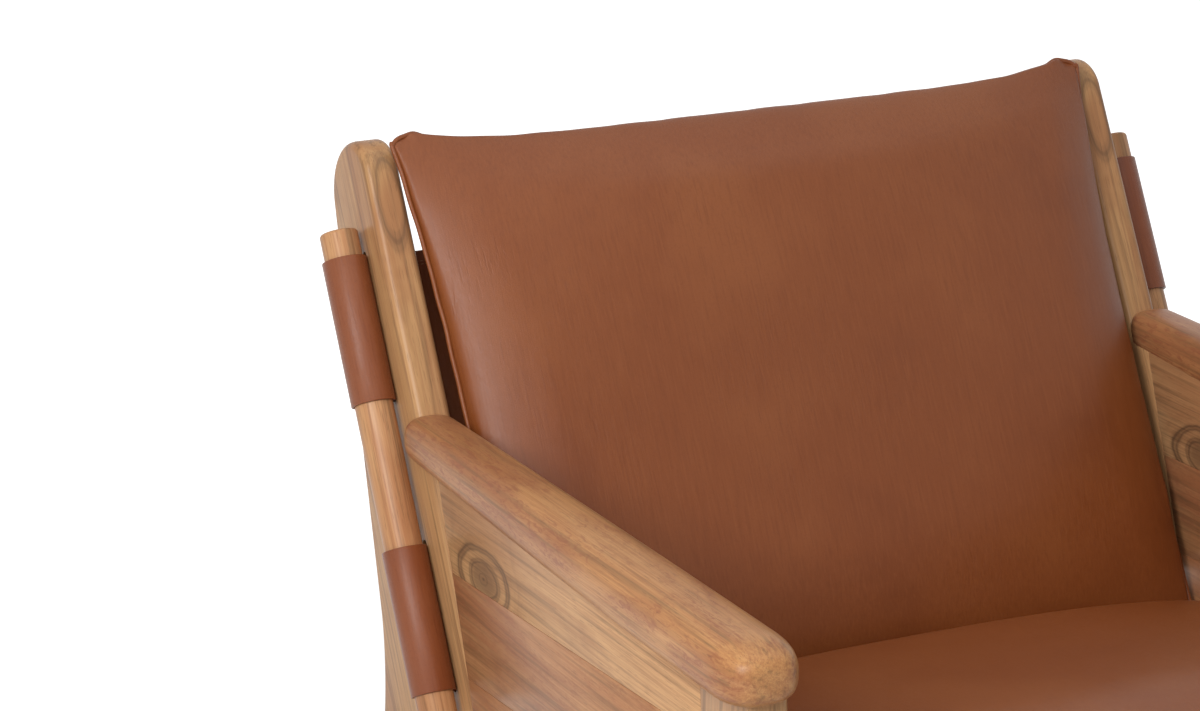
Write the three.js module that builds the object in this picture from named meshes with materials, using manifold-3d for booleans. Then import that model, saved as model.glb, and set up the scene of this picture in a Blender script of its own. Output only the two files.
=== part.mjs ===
// A lounge chair: two solid wood side frames joined by stretchers, a leather back sling and a leather
// seat sling held by dowels outside the frames, and two loose leather cushions.
// Millimetres, +Z up, the chair faces -Y. Right and left are the sitter's.
import * as THREE from "three";
import { mergeVertices } from "three/addons/utils/BufferGeometryUtils.js";
import Module from "manifold-3d";

const wasm = await Module();
wasm.setup();

// Side frames, drawn in the plane of y (to the rear) and z (up).
const frameWidth = 780;
const boardThickness = 34;
const arrisRadius = 8;
const backAngleDeg = 28.5;
const postHeight = 764;
const backSeatSetback = 23.84;
const postTopWidth = 84;
const postTopFallDeg = 16;
const postTopFrontRadius = 22;
const postTopRearRadius = 36;
const postRearAngleDeg = 14.5;
const elbowHeight = 250;
const elbowRadius = 260;
const rearFootSetback = 345;
const rearFootWidth = 52;
const rearLegWidthAtArch = 68;
const rearArchRadius = 90;
const footRadius = 10;
const frontFootForward = 24;
const frontFootWidth = 44;
const frontLegReach = 448;
const frontLegTopWidth = 86;
const frontLegWidthAtArch = 78;
const frontArchRadius = 60;
const frontTopRadius = 12;
const boardTopHeight = 516;
const shoulderRadius = 14;
const rearJointFromShoulder = 24.3;
const rearJointAngleDeg = 20;
const upperBoardHeight = 95;
const boardJointRiseDeg = 2.5;
const railBelowSeat = 31;

// Armrests.
const armAboveBoards = 26;
const armRearThickness = 41;
const armFrontThickness = 54;
const armRearWidth = 53;
const armFrontWidth = 70;
const armRearPastPost = 6.5;
const armNoseOverhang = 18;
const armRearNoseLength = 34;
const armFrontNoseLength = 46;
const armOutwardShift = 8;
const tenonThickness = 10;
const tenonWidth = 40;
const tenonHeight = 40;
const tenonInArm = 14;

// Back sling and its dowels, measured along the back from the post's front edge.
const dowelDiameter = 35;
const dowelArris = 2;
const leatherThickness = 2.5;
const slingSheetThickness = 3;
const slingDepth = 43;
const backDowelTopDrop = 72;
const dowelStub = 23;
const backDowelSeatRise = 67.2;
const hemWidth = 60;
const slotWidth = 9;
const slotEndRoom = 2;

// Seat sling and its dowels.
const seatAngleDeg = 8.5;
const seatPlaneHeight = 248;
const seatDowelSetback = 30;
const seatLoopLength = 130;
const seatDowelFrontRoom = 68;
const seatSheetSetback = 5;
const seatSheetOverhang = 8;

// Stretchers.
const stretcherThickness = 26;
const stretcherArris = 5;
const frontStretcherHeight = 62;
const frontStretcherSetback = 32;
const rearStretcherHeight = 56;
const rearStretcherSetback = 150;
const rearStretcherAboveSeat = 22.4;
const backStretcherHeight = 50;
const backStretcherThickness = 24;
const backStretcherBehindSling = 50;
const backStretcherDrop = 262;
const stubTenonLength = 20;
const stubTenonShoulder = 5;

// Fasteners and glides.
const boltDiameter = 6;
const boltLength = 62;
const boltHeadDiameter = 12;
const boltHeadHeight = 5;
const boltSpacing = 28;
const plugDiameter = 14;
const plugThickness = 6;
const nutDiameter = 10;
const nutLength = 18;
const nutSetback = 34;
const glideDiameter = 24;
const glideThickness = 4;
const glidePinDiameter = 5;
const glidePinLength = 12;

// Cushions.
const backCushionTopRise = 70;
const backCushionSeatRise = 17.7;
const backCushionSideGap = 7;
const backCushionTopFlare = 14;
const backCushionFootFlare = 1;
const backCushionEar = 13;
const backCushionCrown = 58;
const backCushionSeamForward = 6;
const seatCushionRearSetback = 5;
const seatCushionOverhang = 26;
const seatCushionSideGap = 10;
const seatCushionFlare = 5;
const seatCushionEar = 8;
const seatCushionSeamHeight = 50;
const seatCushionCrown = 60;

// Clearances, overruns and facets.
const gap = 0.3;
const holeRoom = 0.6;
const cutOverrun = 40;
const arcSteps = 3;
const arrisSteps = 2;
const roundSides = 20;
const smallSides = 10;
const armRingPoints = 20;
const armNoseSteps = 4;
const armBodySteps = 4;
const cushionStepsAcross = 24;
const cushionStepsAlong = 18;

// Shares that shape the rounded forms.
const middleBoardShare = 0.441;
const backLoopShare = 0.3358;
const armSectionShare = 0.72;
const cushionEdgeShare = 0.36;
const cushionBackShare = 1.5;
const cushionFlareShare = 3;
const cushionEarShare = 6;
const cushionCornerShare = 0.012;

const radians = (degrees) => THREE.MathUtils.degToRad(degrees);

// Heights and lengths that follow the sizes above.
const innerWidth = frameWidth - boardThickness - boardThickness;
const backRise = postHeight - seatPlaneHeight;
const backLengthToSeat = backRise / Math.cos(radians(backAngleDeg));
const postTopSetback = backSeatSetback + backRise * Math.tan(radians(backAngleDeg));
const frontFootReach = frontLegReach + frontFootForward;
const railBottomHeight = seatPlaneHeight - railBelowSeat;
const boardJointHeight = boardTopHeight - upperBoardHeight;
const middleJointHeight = boardJointHeight - (boardJointHeight - railBottomHeight) * middleBoardShare;
const armTopHeight = boardTopHeight + armAboveBoards;
const armNoseReach = frontLegReach + armNoseOverhang;
const dowelRadius = dowelDiameter / 2;
const loopRadius = dowelRadius + gap + leatherThickness;
const dowelOffset = frameWidth / 2 + loopRadius + gap;
const hemThickness = leatherThickness + leatherThickness;
const backDowelLength = backLengthToSeat - backDowelTopDrop - backDowelSeatRise;
const backSheetLength = backDowelLength - dowelStub - dowelStub;
const backLoopLength = backSheetLength * backLoopShare;
const backWindowLength = backSheetLength - backLoopLength - backLoopLength;
const seatDowelLength = seatDowelSetback + frontLegReach - seatDowelFrontRoom;
const seatWindowLength = seatDowelLength - dowelStub - seatLoopLength - seatLoopLength - dowelStub;
const frontStretcherReach = frontLegReach - frontStretcherSetback;
const rearStretcherLevel =
  seatPlaneHeight - rearStretcherSetback * Math.tan(radians(seatAngleDeg)) + rearStretcherAboveSeat;
const riseAlongBack = backCushionTopRise - backDowelTopDrop - dowelStub / 2;
const backCushionHeight = riseAlongBack + backLengthToSeat - backCushionSeatRise;
const seatCushionReach = frontLegReach + seatCushionOverhang;
const seatCushionDepth = seatCushionReach + seatCushionRearSetback;
const footHeight = glideThickness + gap;
const halfTurn = Math.PI;
const quarterTurn = Math.PI / 2;

// Materials, one for each mesh.
const finishes = {
  wood: { color: 0xb58a60, roughness: 0.55, metalness: 0 },
  leather: { color: 0x87502f, roughness: 0.42, metalness: 0 },
  steel: { color: 0x9a9a98, roughness: 0.35, metalness: 0.9 },
  felt: { color: 0x4a4642, roughness: 0.95, metalness: 0 },
};

function piece(name, geometry, finish) {
  const mesh = new THREE.Mesh(geometry, new THREE.MeshStandardMaterial(finishes[finish]));
  mesh.name = name;
  return mesh;
}

// A closed geometry as a solid that can be joined and cut.
function solidOf(geometry) {
  const bare = geometry.clone();
  bare.deleteAttribute("normal");
  bare.deleteAttribute("uv");
  const merged = mergeVertices(bare);
  return new wasm.Manifold(
    new wasm.Mesh({
      numProp: 3,
      vertProperties: merged.getAttribute("position").array,
      triVerts: new Uint32Array(merged.index.array),
    }),
  );
}

function geometryOf(solid) {
  const mesh = solid.getMesh();
  const geometry = new THREE.BufferGeometry();
  geometry.setAttribute("position", new THREE.BufferAttribute(mesh.vertProperties.slice(), mesh.numProp));
  geometry.setIndex(new THREE.BufferAttribute(mesh.triVerts.slice(), 1));
  geometry.computeVertexNormals();
  return geometry;
}

function cut(geometry, cutters) {
  const solid = cutters.reduce((left, cutter) => left.subtract(solidOf(cutter)), solidOf(geometry));
  return geometryOf(solid);
}

function join(geometries) {
  const solids = geometries.map(solidOf);
  return geometryOf(solids.reduce((whole, part) => whole.add(part)));
}

function common(geometry, region) {
  return geometryOf(solidOf(geometry).intersect(solidOf(region)));
}

// A straight edge through a point of the side view, with its direction.
function leaningEdge(y, z, leanDeg) {
  return { y, z, dy: Math.sin(radians(leanDeg)), dz: Math.cos(radians(leanDeg)) };
}

function risingEdge(y, z, riseDeg) {
  return { y, z, dy: -Math.cos(radians(riseDeg)), dz: Math.sin(radians(riseDeg)) };
}

function edgeBetween(from, to) {
  return { y: from.x, z: from.y, dy: to.x - from.x, dz: to.y - from.y };
}

function meet(a, b) {
  const t = ((b.y - a.y) * b.dz - (b.z - a.z) * b.dy) / (a.dy * b.dz - a.dz * b.dy);
  return new THREE.Vector2(a.y + a.dy * t, a.z + a.dz * t);
}

function level(z) {
  return { y: 0, z, dy: 1, dz: 0 };
}

function shifted(line, dy) {
  return { ...line, y: line.y + dy };
}

function raised(line, dz) {
  return { ...line, z: line.z + dz };
}

// An outline through corners, each rounded by its own radius.
function roundedShape(corners) {
  const shape = new THREE.Shape();
  corners.forEach(({ at, radius }, i) => {
    const before = corners[(i + corners.length - 1) % corners.length].at;
    const after = corners[(i + 1) % corners.length].at;
    const back = before.clone().sub(at).normalize();
    const ahead = after.clone().sub(at).normalize();
    const half = Math.acos(THREE.MathUtils.clamp(back.dot(ahead), -1, 1)) / 2;
    const start = at.clone().addScaledVector(back, radius / Math.tan(half));
    if (i === 0) shape.moveTo(start.x, start.y);
    else shape.lineTo(start.x, start.y);
    if (radius === 0) return;
    const centre = at.clone().addScaledVector(back.clone().add(ahead).normalize(), radius / Math.sin(half));
    const end = at.clone().addScaledVector(ahead, radius / Math.tan(half));
    const from = Math.atan2(start.y - centre.y, start.x - centre.x);
    const to = Math.atan2(end.y - centre.y, end.x - centre.x);
    shape.absarc(centre.x, centre.y, radius, from, to, back.cross(ahead) > 0);
  });
  shape.closePath();
  return shape;
}

function sharpShape(points) {
  return roundedShape(points.map((at) => ({ at, radius: 0 })));
}

// A side-view outline as a plank of a thickness, centred on x = 0, its arrises rounded.
function plank(shape, thickness, radius, grow) {
  const geometry = new THREE.ExtrudeGeometry(shape, {
    depth: thickness - radius - radius,
    bevelEnabled: radius > 0,
    bevelThickness: radius + grow,
    bevelSize: radius,
    bevelOffset: grow - radius,
    bevelSegments: arrisSteps,
    curveSegments: arcSteps,
    steps: 1,
  });
  geometry.translate(0, 0, radius - thickness / 2);
  return geometry.applyMatrix4(
    new THREE.Matrix4().makeBasis(
      new THREE.Vector3(0, 1, 0),
      new THREE.Vector3(0, 0, 1),
      new THREE.Vector3(1, 0, 0),
    ),
  );
}

function block(width, depth, height, x, y, z) {
  return new THREE.BoxGeometry(width, depth, height).translate(x, y, z);
}

function rodAlongX(diameter, length, x, y, z, sides) {
  const rod = new THREE.CylinderGeometry(diameter / 2, diameter / 2, length, sides);
  return rod.rotateZ(quarterTurn).translate(x, y, z);
}

// The edges of the side frame that several pieces share.
const backLine = leaningEdge(postTopSetback, postHeight, backAngleDeg);
const postTopLine = risingEdge(postTopSetback, postHeight, postTopFallDeg);
const postTopRear = new THREE.Vector2(
  postTopSetback + postTopWidth * Math.cos(radians(postTopFallDeg)),
  postHeight - postTopWidth * Math.sin(radians(postTopFallDeg)),
);
const postRearLine = leaningEdge(postTopRear.x, postTopRear.y, postRearAngleDeg);
const elbow = meet(postRearLine, level(elbowHeight));
const rearFootHeel = new THREE.Vector2(rearFootSetback, 0);
const rearFootToe = new THREE.Vector2(rearFootSetback - rearFootWidth, 0);
const railBottomLine = risingEdge(0, railBottomHeight, seatAngleDeg);
const rearEdgeAtArch = meet(edgeBetween(rearFootHeel, elbow), railBottomLine);
const rearArchCorner = meet(
  edgeBetween(rearFootToe, new THREE.Vector2(rearEdgeAtArch.x - rearLegWidthAtArch, rearEdgeAtArch.y)),
  railBottomLine,
);
const frontFootToe = new THREE.Vector2(-frontFootReach, 0);
const frontFootHeel = new THREE.Vector2(frontFootWidth - frontFootReach, 0);
const frontLegTop = new THREE.Vector2(-frontLegReach, boardTopHeight);
const frontEdgeAtArch = meet(edgeBetween(frontFootToe, frontLegTop), railBottomLine);
const frontArchCorner = meet(
  edgeBetween(frontFootHeel, new THREE.Vector2(frontEdgeAtArch.x + frontLegWidthAtArch, frontEdgeAtArch.y)),
  railBottomLine,
);
const shoulder = meet(backLine, level(boardTopHeight));
const armRearSetback = meet(backLine, level(armTopHeight)).x + armRearPastPost;
const rearJointLine = leaningEdge(shoulder.x - rearJointFromShoulder, boardTopHeight, rearJointAngleDeg);
const frontJointLine = edgeBetween(
  new THREE.Vector2(frontLegTopWidth - frontLegReach, boardTopHeight),
  frontArchCorner,
);
const upperBoardLine = risingEdge(0, boardJointHeight, boardJointRiseDeg);
const middleBoardLine = risingEdge(0, middleJointHeight, boardJointRiseDeg);

// A point below the floor on the line from a foot corner to the corner above it.
function belowFloor(foot, above) {
  return meet(edgeBetween(foot, above), level(-cutOverrun));
}

// The whole side as one outline; the legs and boards are cut from it, so that their faces run through.
function sideShape() {
  return roundedShape([
    { at: belowFloor(rearFootHeel, elbow), radius: footRadius },
    { at: elbow, radius: elbowRadius },
    { at: postTopRear, radius: postTopRearRadius },
    { at: meet(backLine, postTopLine), radius: postTopFrontRadius },
    { at: shoulder, radius: shoulderRadius },
    { at: frontLegTop, radius: frontTopRadius },
    { at: belowFloor(frontFootToe, frontLegTop), radius: footRadius },
    { at: belowFloor(frontFootHeel, frontArchCorner), radius: footRadius },
    { at: frontArchCorner, radius: frontArchRadius },
    { at: rearArchCorner, radius: rearArchRadius },
    { at: belowFloor(rearFootToe, rearArchCorner), radius: footRadius },
  ]);
}

function sideBlank(grow) {
  return plank(sideShape(), boardThickness, arrisRadius, grow);
}

function region(points) {
  return plank(sharpShape(points), boardThickness + cutOverrun, 0, 0);
}

const regionTop = level(postHeight + cutOverrun);
const regionRear = postTopRear.x + cutOverrun;
const regionFront = -frontFootReach - cutOverrun;

function rearLegRegion() {
  const joint = shifted(rearJointLine, gap / 2);
  return region([
    meet(joint, level(footHeight)),
    new THREE.Vector2(regionRear, footHeight),
    new THREE.Vector2(regionRear, regionTop.z),
    meet(joint, regionTop),
  ]);
}

function frontLegRegion() {
  const joint = shifted(frontJointLine, -gap / 2);
  return region([
    new THREE.Vector2(regionFront, footHeight),
    meet(joint, level(footHeight)),
    meet(joint, regionTop),
    new THREE.Vector2(regionFront, regionTop.z),
  ]);
}

// The boards stand between the two joints and between two lines, one above the other.
function boardRegion(below, above) {
  const rear = shifted(rearJointLine, -gap / 2);
  const front = shifted(frontJointLine, gap / 2);
  return region([meet(front, below), meet(rear, below), meet(rear, above), meet(front, above)]);
}

// Places of the back and seat assemblies: local z runs up the back, local y lies behind it; in the
// seat local y runs to the rear along the seat and local z stands square to it.
const backPlace = new THREE.Matrix4().compose(
  new THREE.Vector3(0, postTopSetback, postHeight),
  new THREE.Quaternion().setFromAxisAngle(new THREE.Vector3(1, 0, 0), -radians(backAngleDeg)),
  new THREE.Vector3(1, 1, 1),
);
const seatPlace = new THREE.Matrix4().compose(
  new THREE.Vector3(0, 0, seatPlaneHeight),
  new THREE.Quaternion().setFromAxisAngle(new THREE.Vector3(1, 0, 0), -radians(seatAngleDeg)),
  new THREE.Vector3(1, 1, 1),
);
// A seat piece is drawn like a back piece, then laid down so that its length runs forward.
const layDown = new THREE.Matrix4().makeRotationX(quarterTurn);

// Where the two loops start along a dowel, from its first end.
function loopStations(loopLength, windowLength) {
  return [dowelStub, dowelStub + loopLength + windowLength];
}

const backDowelBottom = -backDowelTopDrop - backDowelLength;
const seatDowelStart = -seatDowelSetback;

// The slots for one sling in one side plank, in that sling's own frame with x = 0 at the plank.
function slots(start, depth, loopLength, windowLength) {
  return loopStations(loopLength, windowLength).map((station) =>
    block(
      boardThickness + cutOverrun,
      slotWidth,
      loopLength + slotEndRoom + slotEndRoom,
      0,
      depth,
      start + station + loopLength / 2,
    ),
  );
}

function backSlots() {
  return slots(backDowelBottom, slingDepth, backLoopLength, backWindowLength).map((slot) =>
    slot.applyMatrix4(backPlace),
  );
}

function seatSlots() {
  return slots(seatDowelStart, 0, seatLoopLength, seatWindowLength).map((slot) =>
    slot.applyMatrix4(layDown).applyMatrix4(seatPlace),
  );
}

// Bolt places on each side: two through the front leg and two through the rear leg.
const frontStretcherTop = slingSheetThickness / 2;
const frontStretcherCentre = new THREE.Vector3(
  0,
  -frontStretcherReach,
  frontStretcherTop - frontStretcherHeight / 2,
).applyMatrix4(seatPlace);
const rearStretcherCentre = new THREE.Vector3(0, rearStretcherSetback, rearStretcherLevel);
const boltPlaces = {
  front_upper: { y: frontStretcherCentre.y, z: frontStretcherCentre.z + boltSpacing / 2 },
  front_lower: { y: frontStretcherCentre.y, z: frontStretcherCentre.z - boltSpacing / 2 },
  rear_upper: { y: rearStretcherCentre.y, z: rearStretcherCentre.z + boltSpacing / 2 },
  rear_lower: { y: rearStretcherCentre.y, z: rearStretcherCentre.z - boltSpacing / 2 },
};
const headDepth = plugThickness + gap + boltHeadHeight + gap;

// A bolt's through hole and counterbore in a side plank whose outer face looks along side.
function boltBores(place, side) {
  const outer = (side * boardThickness) / 2;
  return [
    rodAlongX(boltDiameter + holeRoom, boardThickness + cutOverrun, 0, place.y, place.z, smallSides),
    rodAlongX(
      plugDiameter + holeRoom,
      headDepth + headDepth,
      outer,
      place.y,
      place.z,
      roundSides,
    ),
  ];
}

function glideHole(centre) {
  const pin = new THREE.CylinderGeometry(
    (glidePinDiameter + holeRoom) / 2,
    (glidePinDiameter + holeRoom) / 2,
    glidePinLength + glidePinLength,
    smallSides,
  );
  return pin.rotateX(quarterTurn).translate(0, centre, footHeight);
}

const rearFootCentre = rearFootSetback - rearFootWidth / 2;
const frontFootCentre = frontFootWidth / 2 - frontFootReach;

// The back stretcher's end, in the back's frame.
const backStretcherDepth = slingDepth + backStretcherBehindSling;
const stubHeight = backStretcherHeight - stubTenonShoulder - stubTenonShoulder;
const stubThickness = backStretcherThickness - stubTenonShoulder - stubTenonShoulder;

function stubMortise(side) {
  const room = gap + gap;
  return block(
    stubTenonLength + stubTenonLength + room,
    stubThickness + room,
    stubHeight + room,
    (-side * boardThickness) / 2,
    backStretcherDepth,
    -backStretcherDrop,
  ).applyMatrix4(backPlace);
}

function rearLeg(side) {
  const blank = common(sideBlank(0), rearLegRegion());
  const bores = [boltPlaces.rear_upper, boltPlaces.rear_lower].flatMap((place) => boltBores(place, side));
  return cut(blank, [...backSlots(), stubMortise(side), ...bores, glideHole(rearFootCentre)]);
}

const tenonCentre = frontLegTopWidth / 2 - frontLegReach;
const tenonBottom = boardTopHeight + tenonInArm - tenonHeight;

// The loose tenon between the front leg and the armrest, or the mortise for it.
function looseTenon(room) {
  const grown = room + room;
  return block(
    tenonThickness + grown,
    tenonWidth + grown,
    tenonHeight + grown,
    0,
    tenonCentre,
    tenonBottom + tenonHeight / 2,
  );
}

function frontLeg(side) {
  const blank = common(sideBlank(0), frontLegRegion());
  const bores = [boltPlaces.front_upper, boltPlaces.front_lower].flatMap((place) => boltBores(place, side));
  return cut(blank, [looseTenon(gap), ...bores, glideHole(frontFootCentre)]);
}

function upperBoard() {
  return common(sideBlank(0), boardRegion(raised(upperBoardLine, gap / 2), regionTop));
}

function middleBoard() {
  const below = raised(middleBoardLine, gap / 2);
  return common(sideBlank(0), boardRegion(below, raised(upperBoardLine, -gap / 2)));
}

function seatRail() {
  const below = raised(railBottomLine, -cutOverrun);
  const blank = common(sideBlank(0), boardRegion(below, raised(middleBoardLine, -gap / 2)));
  return cut(blank, seatSlots());
}

// A closed skin over rings of points, with a fan at each end.
function loft(rings) {
  const sides = rings[0].length;
  const points = rings.flat();
  const faces = [];
  for (let i = 0; i < rings.length - 1; i++) {
    for (let j = 0; j < sides; j++) {
      const a = i * sides + j;
      const b = i * sides + ((j + 1) % sides);
      faces.push(a, b, b + sides, a, b + sides, a + sides);
    }
  }
  [rings[0], rings[rings.length - 1]].forEach((ring, end) => {
    const centre = ring.reduce((sum, p) => sum.add(p), new THREE.Vector3()).divideScalar(sides);
    const hub = points.push(centre) - 1;
    const first = end ? (rings.length - 1) * sides : 0;
    for (let j = 0; j < sides; j++) {
      const a = first + j;
      const b = first + ((j + 1) % sides);
      faces.push(...(end ? [a, b, hub] : [b, a, hub]));
    }
  });
  const geometry = new THREE.BufferGeometry().setFromPoints(points);
  geometry.setIndex(faces);
  geometry.computeVertexNormals();
  return geometry;
}

const rounded = (value, share) => Math.sign(value) * Math.abs(value) ** share;

// One ring of the armrest's softly squared section.
function armRing(y, sizeShare, side) {
  const along = (armRearSetback - y) / (armRearSetback + armNoseReach);
  const width = THREE.MathUtils.lerp(armRearWidth, armFrontWidth, Math.sin(along * quarterTurn));
  const thickness = THREE.MathUtils.lerp(armRearThickness, armFrontThickness, Math.sin(along * quarterTurn));
  const ring = [];
  for (let j = 0; j < armRingPoints; j++) {
    const turn = (j / armRingPoints) * (halfTurn + halfTurn);
    const x = rounded(Math.cos(turn), armSectionShare) * (width / 2) * sizeShare;
    const z = rounded(Math.sin(turn), armSectionShare) * (thickness / 2) * sizeShare;
    ring.push(new THREE.Vector3(side * armOutwardShift + x, y, armTopHeight - thickness / 2 + z));
  }
  return ring;
}

// The armrest: rounded noses at both ends, housed over the boards and notched round the post.
function armrest(side) {
  const noseTurns = [];
  for (let i = 1; i <= armNoseSteps; i++) noseTurns.push((i / armNoseSteps) * quarterTurn);
  const rearRings = noseTurns.map((turn) =>
    armRing(armRearSetback - armRearNoseLength * (1 - Math.cos(turn)), Math.sqrt(Math.sin(turn)), side),
  );
  const bodyStart = armRearSetback - armRearNoseLength;
  const bodyLength = bodyStart + armNoseReach - armFrontNoseLength;
  const bodyRings = [];
  for (let i = 1; i < armBodySteps; i++) {
    bodyRings.push(armRing(bodyStart - (i / armBodySteps) * bodyLength, 1, side));
  }
  const frontRings = noseTurns
    .map((turn) =>
      armRing(armFrontNoseLength * (1 - Math.cos(turn)) - armNoseReach, Math.sqrt(Math.sin(turn)), side),
    )
    .reverse();
  const blank = loft([...rearRings, ...bodyRings, ...frontRings]);
  const behindPost = plank(
    sharpShape([
      shoulder.clone().add(new THREE.Vector2(-gap, -cutOverrun)),
      new THREE.Vector2(regionRear, shoulder.y - cutOverrun),
      meet(backLine, regionTop).add(new THREE.Vector2(cutOverrun, 0)),
      meet(shifted(backLine, -gap), regionTop),
      meet(shifted(backLine, -gap), level(boardTopHeight)),
    ]),
    boardThickness + cutOverrun,
    0,
    0,
  ).translate((-side * (cutOverrun - gap - gap)) / 2, 0, 0);
  return cut(blank, [sideBlank(gap), behindPost, looseTenon(gap)]);
}

// A dowel along local z, its ends slightly chamfered.
function dowel(length) {
  const profile = [
    new THREE.Vector2(0, 0),
    new THREE.Vector2(dowelRadius - dowelArris, 0),
    new THREE.Vector2(dowelRadius, dowelArris),
    new THREE.Vector2(dowelRadius, length - dowelArris),
    new THREE.Vector2(dowelRadius - dowelArris, length),
    new THREE.Vector2(0, length),
  ];
  return new THREE.LatheGeometry(profile, roundSides).rotateX(quarterTurn);
}

// A leather loop round a dowel, with the doubled hem that runs back through the slot. The hem is
// flush with the sheet's face and thicker on the other side, which backSide gives.
function loopAndHem(side, start, length, backSide) {
  const ring = new THREE.Shape().absarc(0, 0, loopRadius, 0, halfTurn + halfTurn, false);
  ring.holes.push(new THREE.Path().absarc(0, 0, dowelRadius + gap, 0, halfTurn + halfTurn, true));
  const tube = new THREE.ExtrudeGeometry(ring, {
    depth: length,
    bevelEnabled: false,
    curveSegments: roundSides / 2,
    steps: 1,
  }).translate(side * dowelOffset, 0, start);
  const hemInner = innerWidth / 2 - hemWidth;
  const hemOuter = dowelOffset - dowelRadius - gap - leatherThickness / 2;
  const hem = block(
    hemOuter - hemInner,
    hemThickness,
    length,
    (side * (hemOuter + hemInner)) / 2,
    (backSide * (hemThickness - slingSheetThickness)) / 2,
    start + length / 2,
  );
  return [tube, hem];
}

// A sling along local z: one sheet between the frames and two loops at each side.
function sling(start, loopLength, windowLength, sheetStart, sheetEnd, backSide) {
  const sheet = block(
    innerWidth - gap - gap,
    slingSheetThickness,
    sheetEnd - sheetStart,
    0,
    0,
    (sheetStart + sheetEnd) / 2,
  );
  const loops = [-1, 1].flatMap((side) =>
    loopStations(loopLength, windowLength).flatMap((station) =>
      loopAndHem(side, start + station, loopLength, backSide),
    ),
  );
  return join([sheet, ...loops]);
}

// A stretcher along x with softened arrises.
function stretcherBar(length, thickness, height, y, z) {
  const corners = [
    [-1, -1],
    [1, -1],
    [1, 1],
    [-1, 1],
  ].map(([sy, sz]) => ({
    at: new THREE.Vector2(y + (sy * thickness) / 2, z + (sz * height) / 2),
    radius: stretcherArris,
  }));
  return plank(roundedShape(corners), length, 0, 0);
}

// The bolt bore and the cross bore for its barrel nut at one end of a stretcher.
function nutBores(side, y, z) {
  const end = (side * innerWidth) / 2;
  const nutX = end - side * nutSetback;
  const crossLength = nutLength + cutOverrun;
  const cross = new THREE.CylinderGeometry(
    (nutDiameter + holeRoom) / 2,
    (nutDiameter + holeRoom) / 2,
    crossLength,
    smallSides,
  ).translate(nutX, y + crossLength / 2 - (nutLength + gap) / 2, z);
  const bore = rodAlongX(boltDiameter + holeRoom, boltLength + boltLength, end, y, z, smallSides);
  return [cross, bore];
}

function boltedStretcher(height, centre, tiltDeg, places) {
  const bar = stretcherBar(innerWidth - gap - gap, stretcherThickness, height, 0, 0)
    .rotateX(-radians(tiltDeg))
    .translate(0, centre.y, centre.z);
  const bores = [-1, 1].flatMap((side) => places.flatMap((place) => nutBores(side, place.y, place.z)));
  return cut(bar, bores);
}

// The back stretcher with a stub tenon at each end, in the back's frame.
function backStretcher() {
  const bar = stretcherBar(
    innerWidth - gap - gap,
    backStretcherThickness,
    backStretcherHeight,
    backStretcherDepth,
    -backStretcherDrop,
  );
  const tenons = block(
    innerWidth + stubTenonLength + stubTenonLength - gap - gap,
    stubThickness,
    stubHeight,
    0,
    backStretcherDepth,
    -backStretcherDrop,
  );
  return join([bar, tenons]);
}

// A bolt along x with its head towards +x at the origin.
function bolt() {
  const profile = [
    new THREE.Vector2(0, 0),
    new THREE.Vector2(boltHeadDiameter / 2, 0),
    new THREE.Vector2(boltHeadDiameter / 2, boltHeadHeight),
    new THREE.Vector2(boltDiameter / 2, boltHeadHeight),
    new THREE.Vector2(boltDiameter / 2, boltHeadHeight + boltLength),
    new THREE.Vector2(0, boltHeadHeight + boltLength),
  ];
  return new THREE.LatheGeometry(profile, smallSides).rotateZ(quarterTurn);
}

function barrelNut() {
  const body = new THREE.CylinderGeometry(nutDiameter / 2, nutDiameter / 2, nutLength, smallSides);
  return cut(body, [rodAlongX(boltDiameter + holeRoom, nutDiameter + cutOverrun, 0, 0, 0, smallSides)]);
}

function plug() {
  return rodAlongX(plugDiameter, plugThickness, 0, 0, 0, roundSides);
}

// A glide under a foot, with its pin in the leg.
function glide() {
  const profile = [
    new THREE.Vector2(0, 0),
    new THREE.Vector2(glideDiameter / 2, 0),
    new THREE.Vector2(glideDiameter / 2, glideThickness),
    new THREE.Vector2(glidePinDiameter / 2, glideThickness),
    new THREE.Vector2(glidePinDiameter / 2, footHeight + glidePinLength - gap),
    new THREE.Vector2(0, footHeight + glidePinLength - gap),
  ];
  return new THREE.LatheGeometry(profile, roundSides).rotateX(quarterTurn);
}

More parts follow.
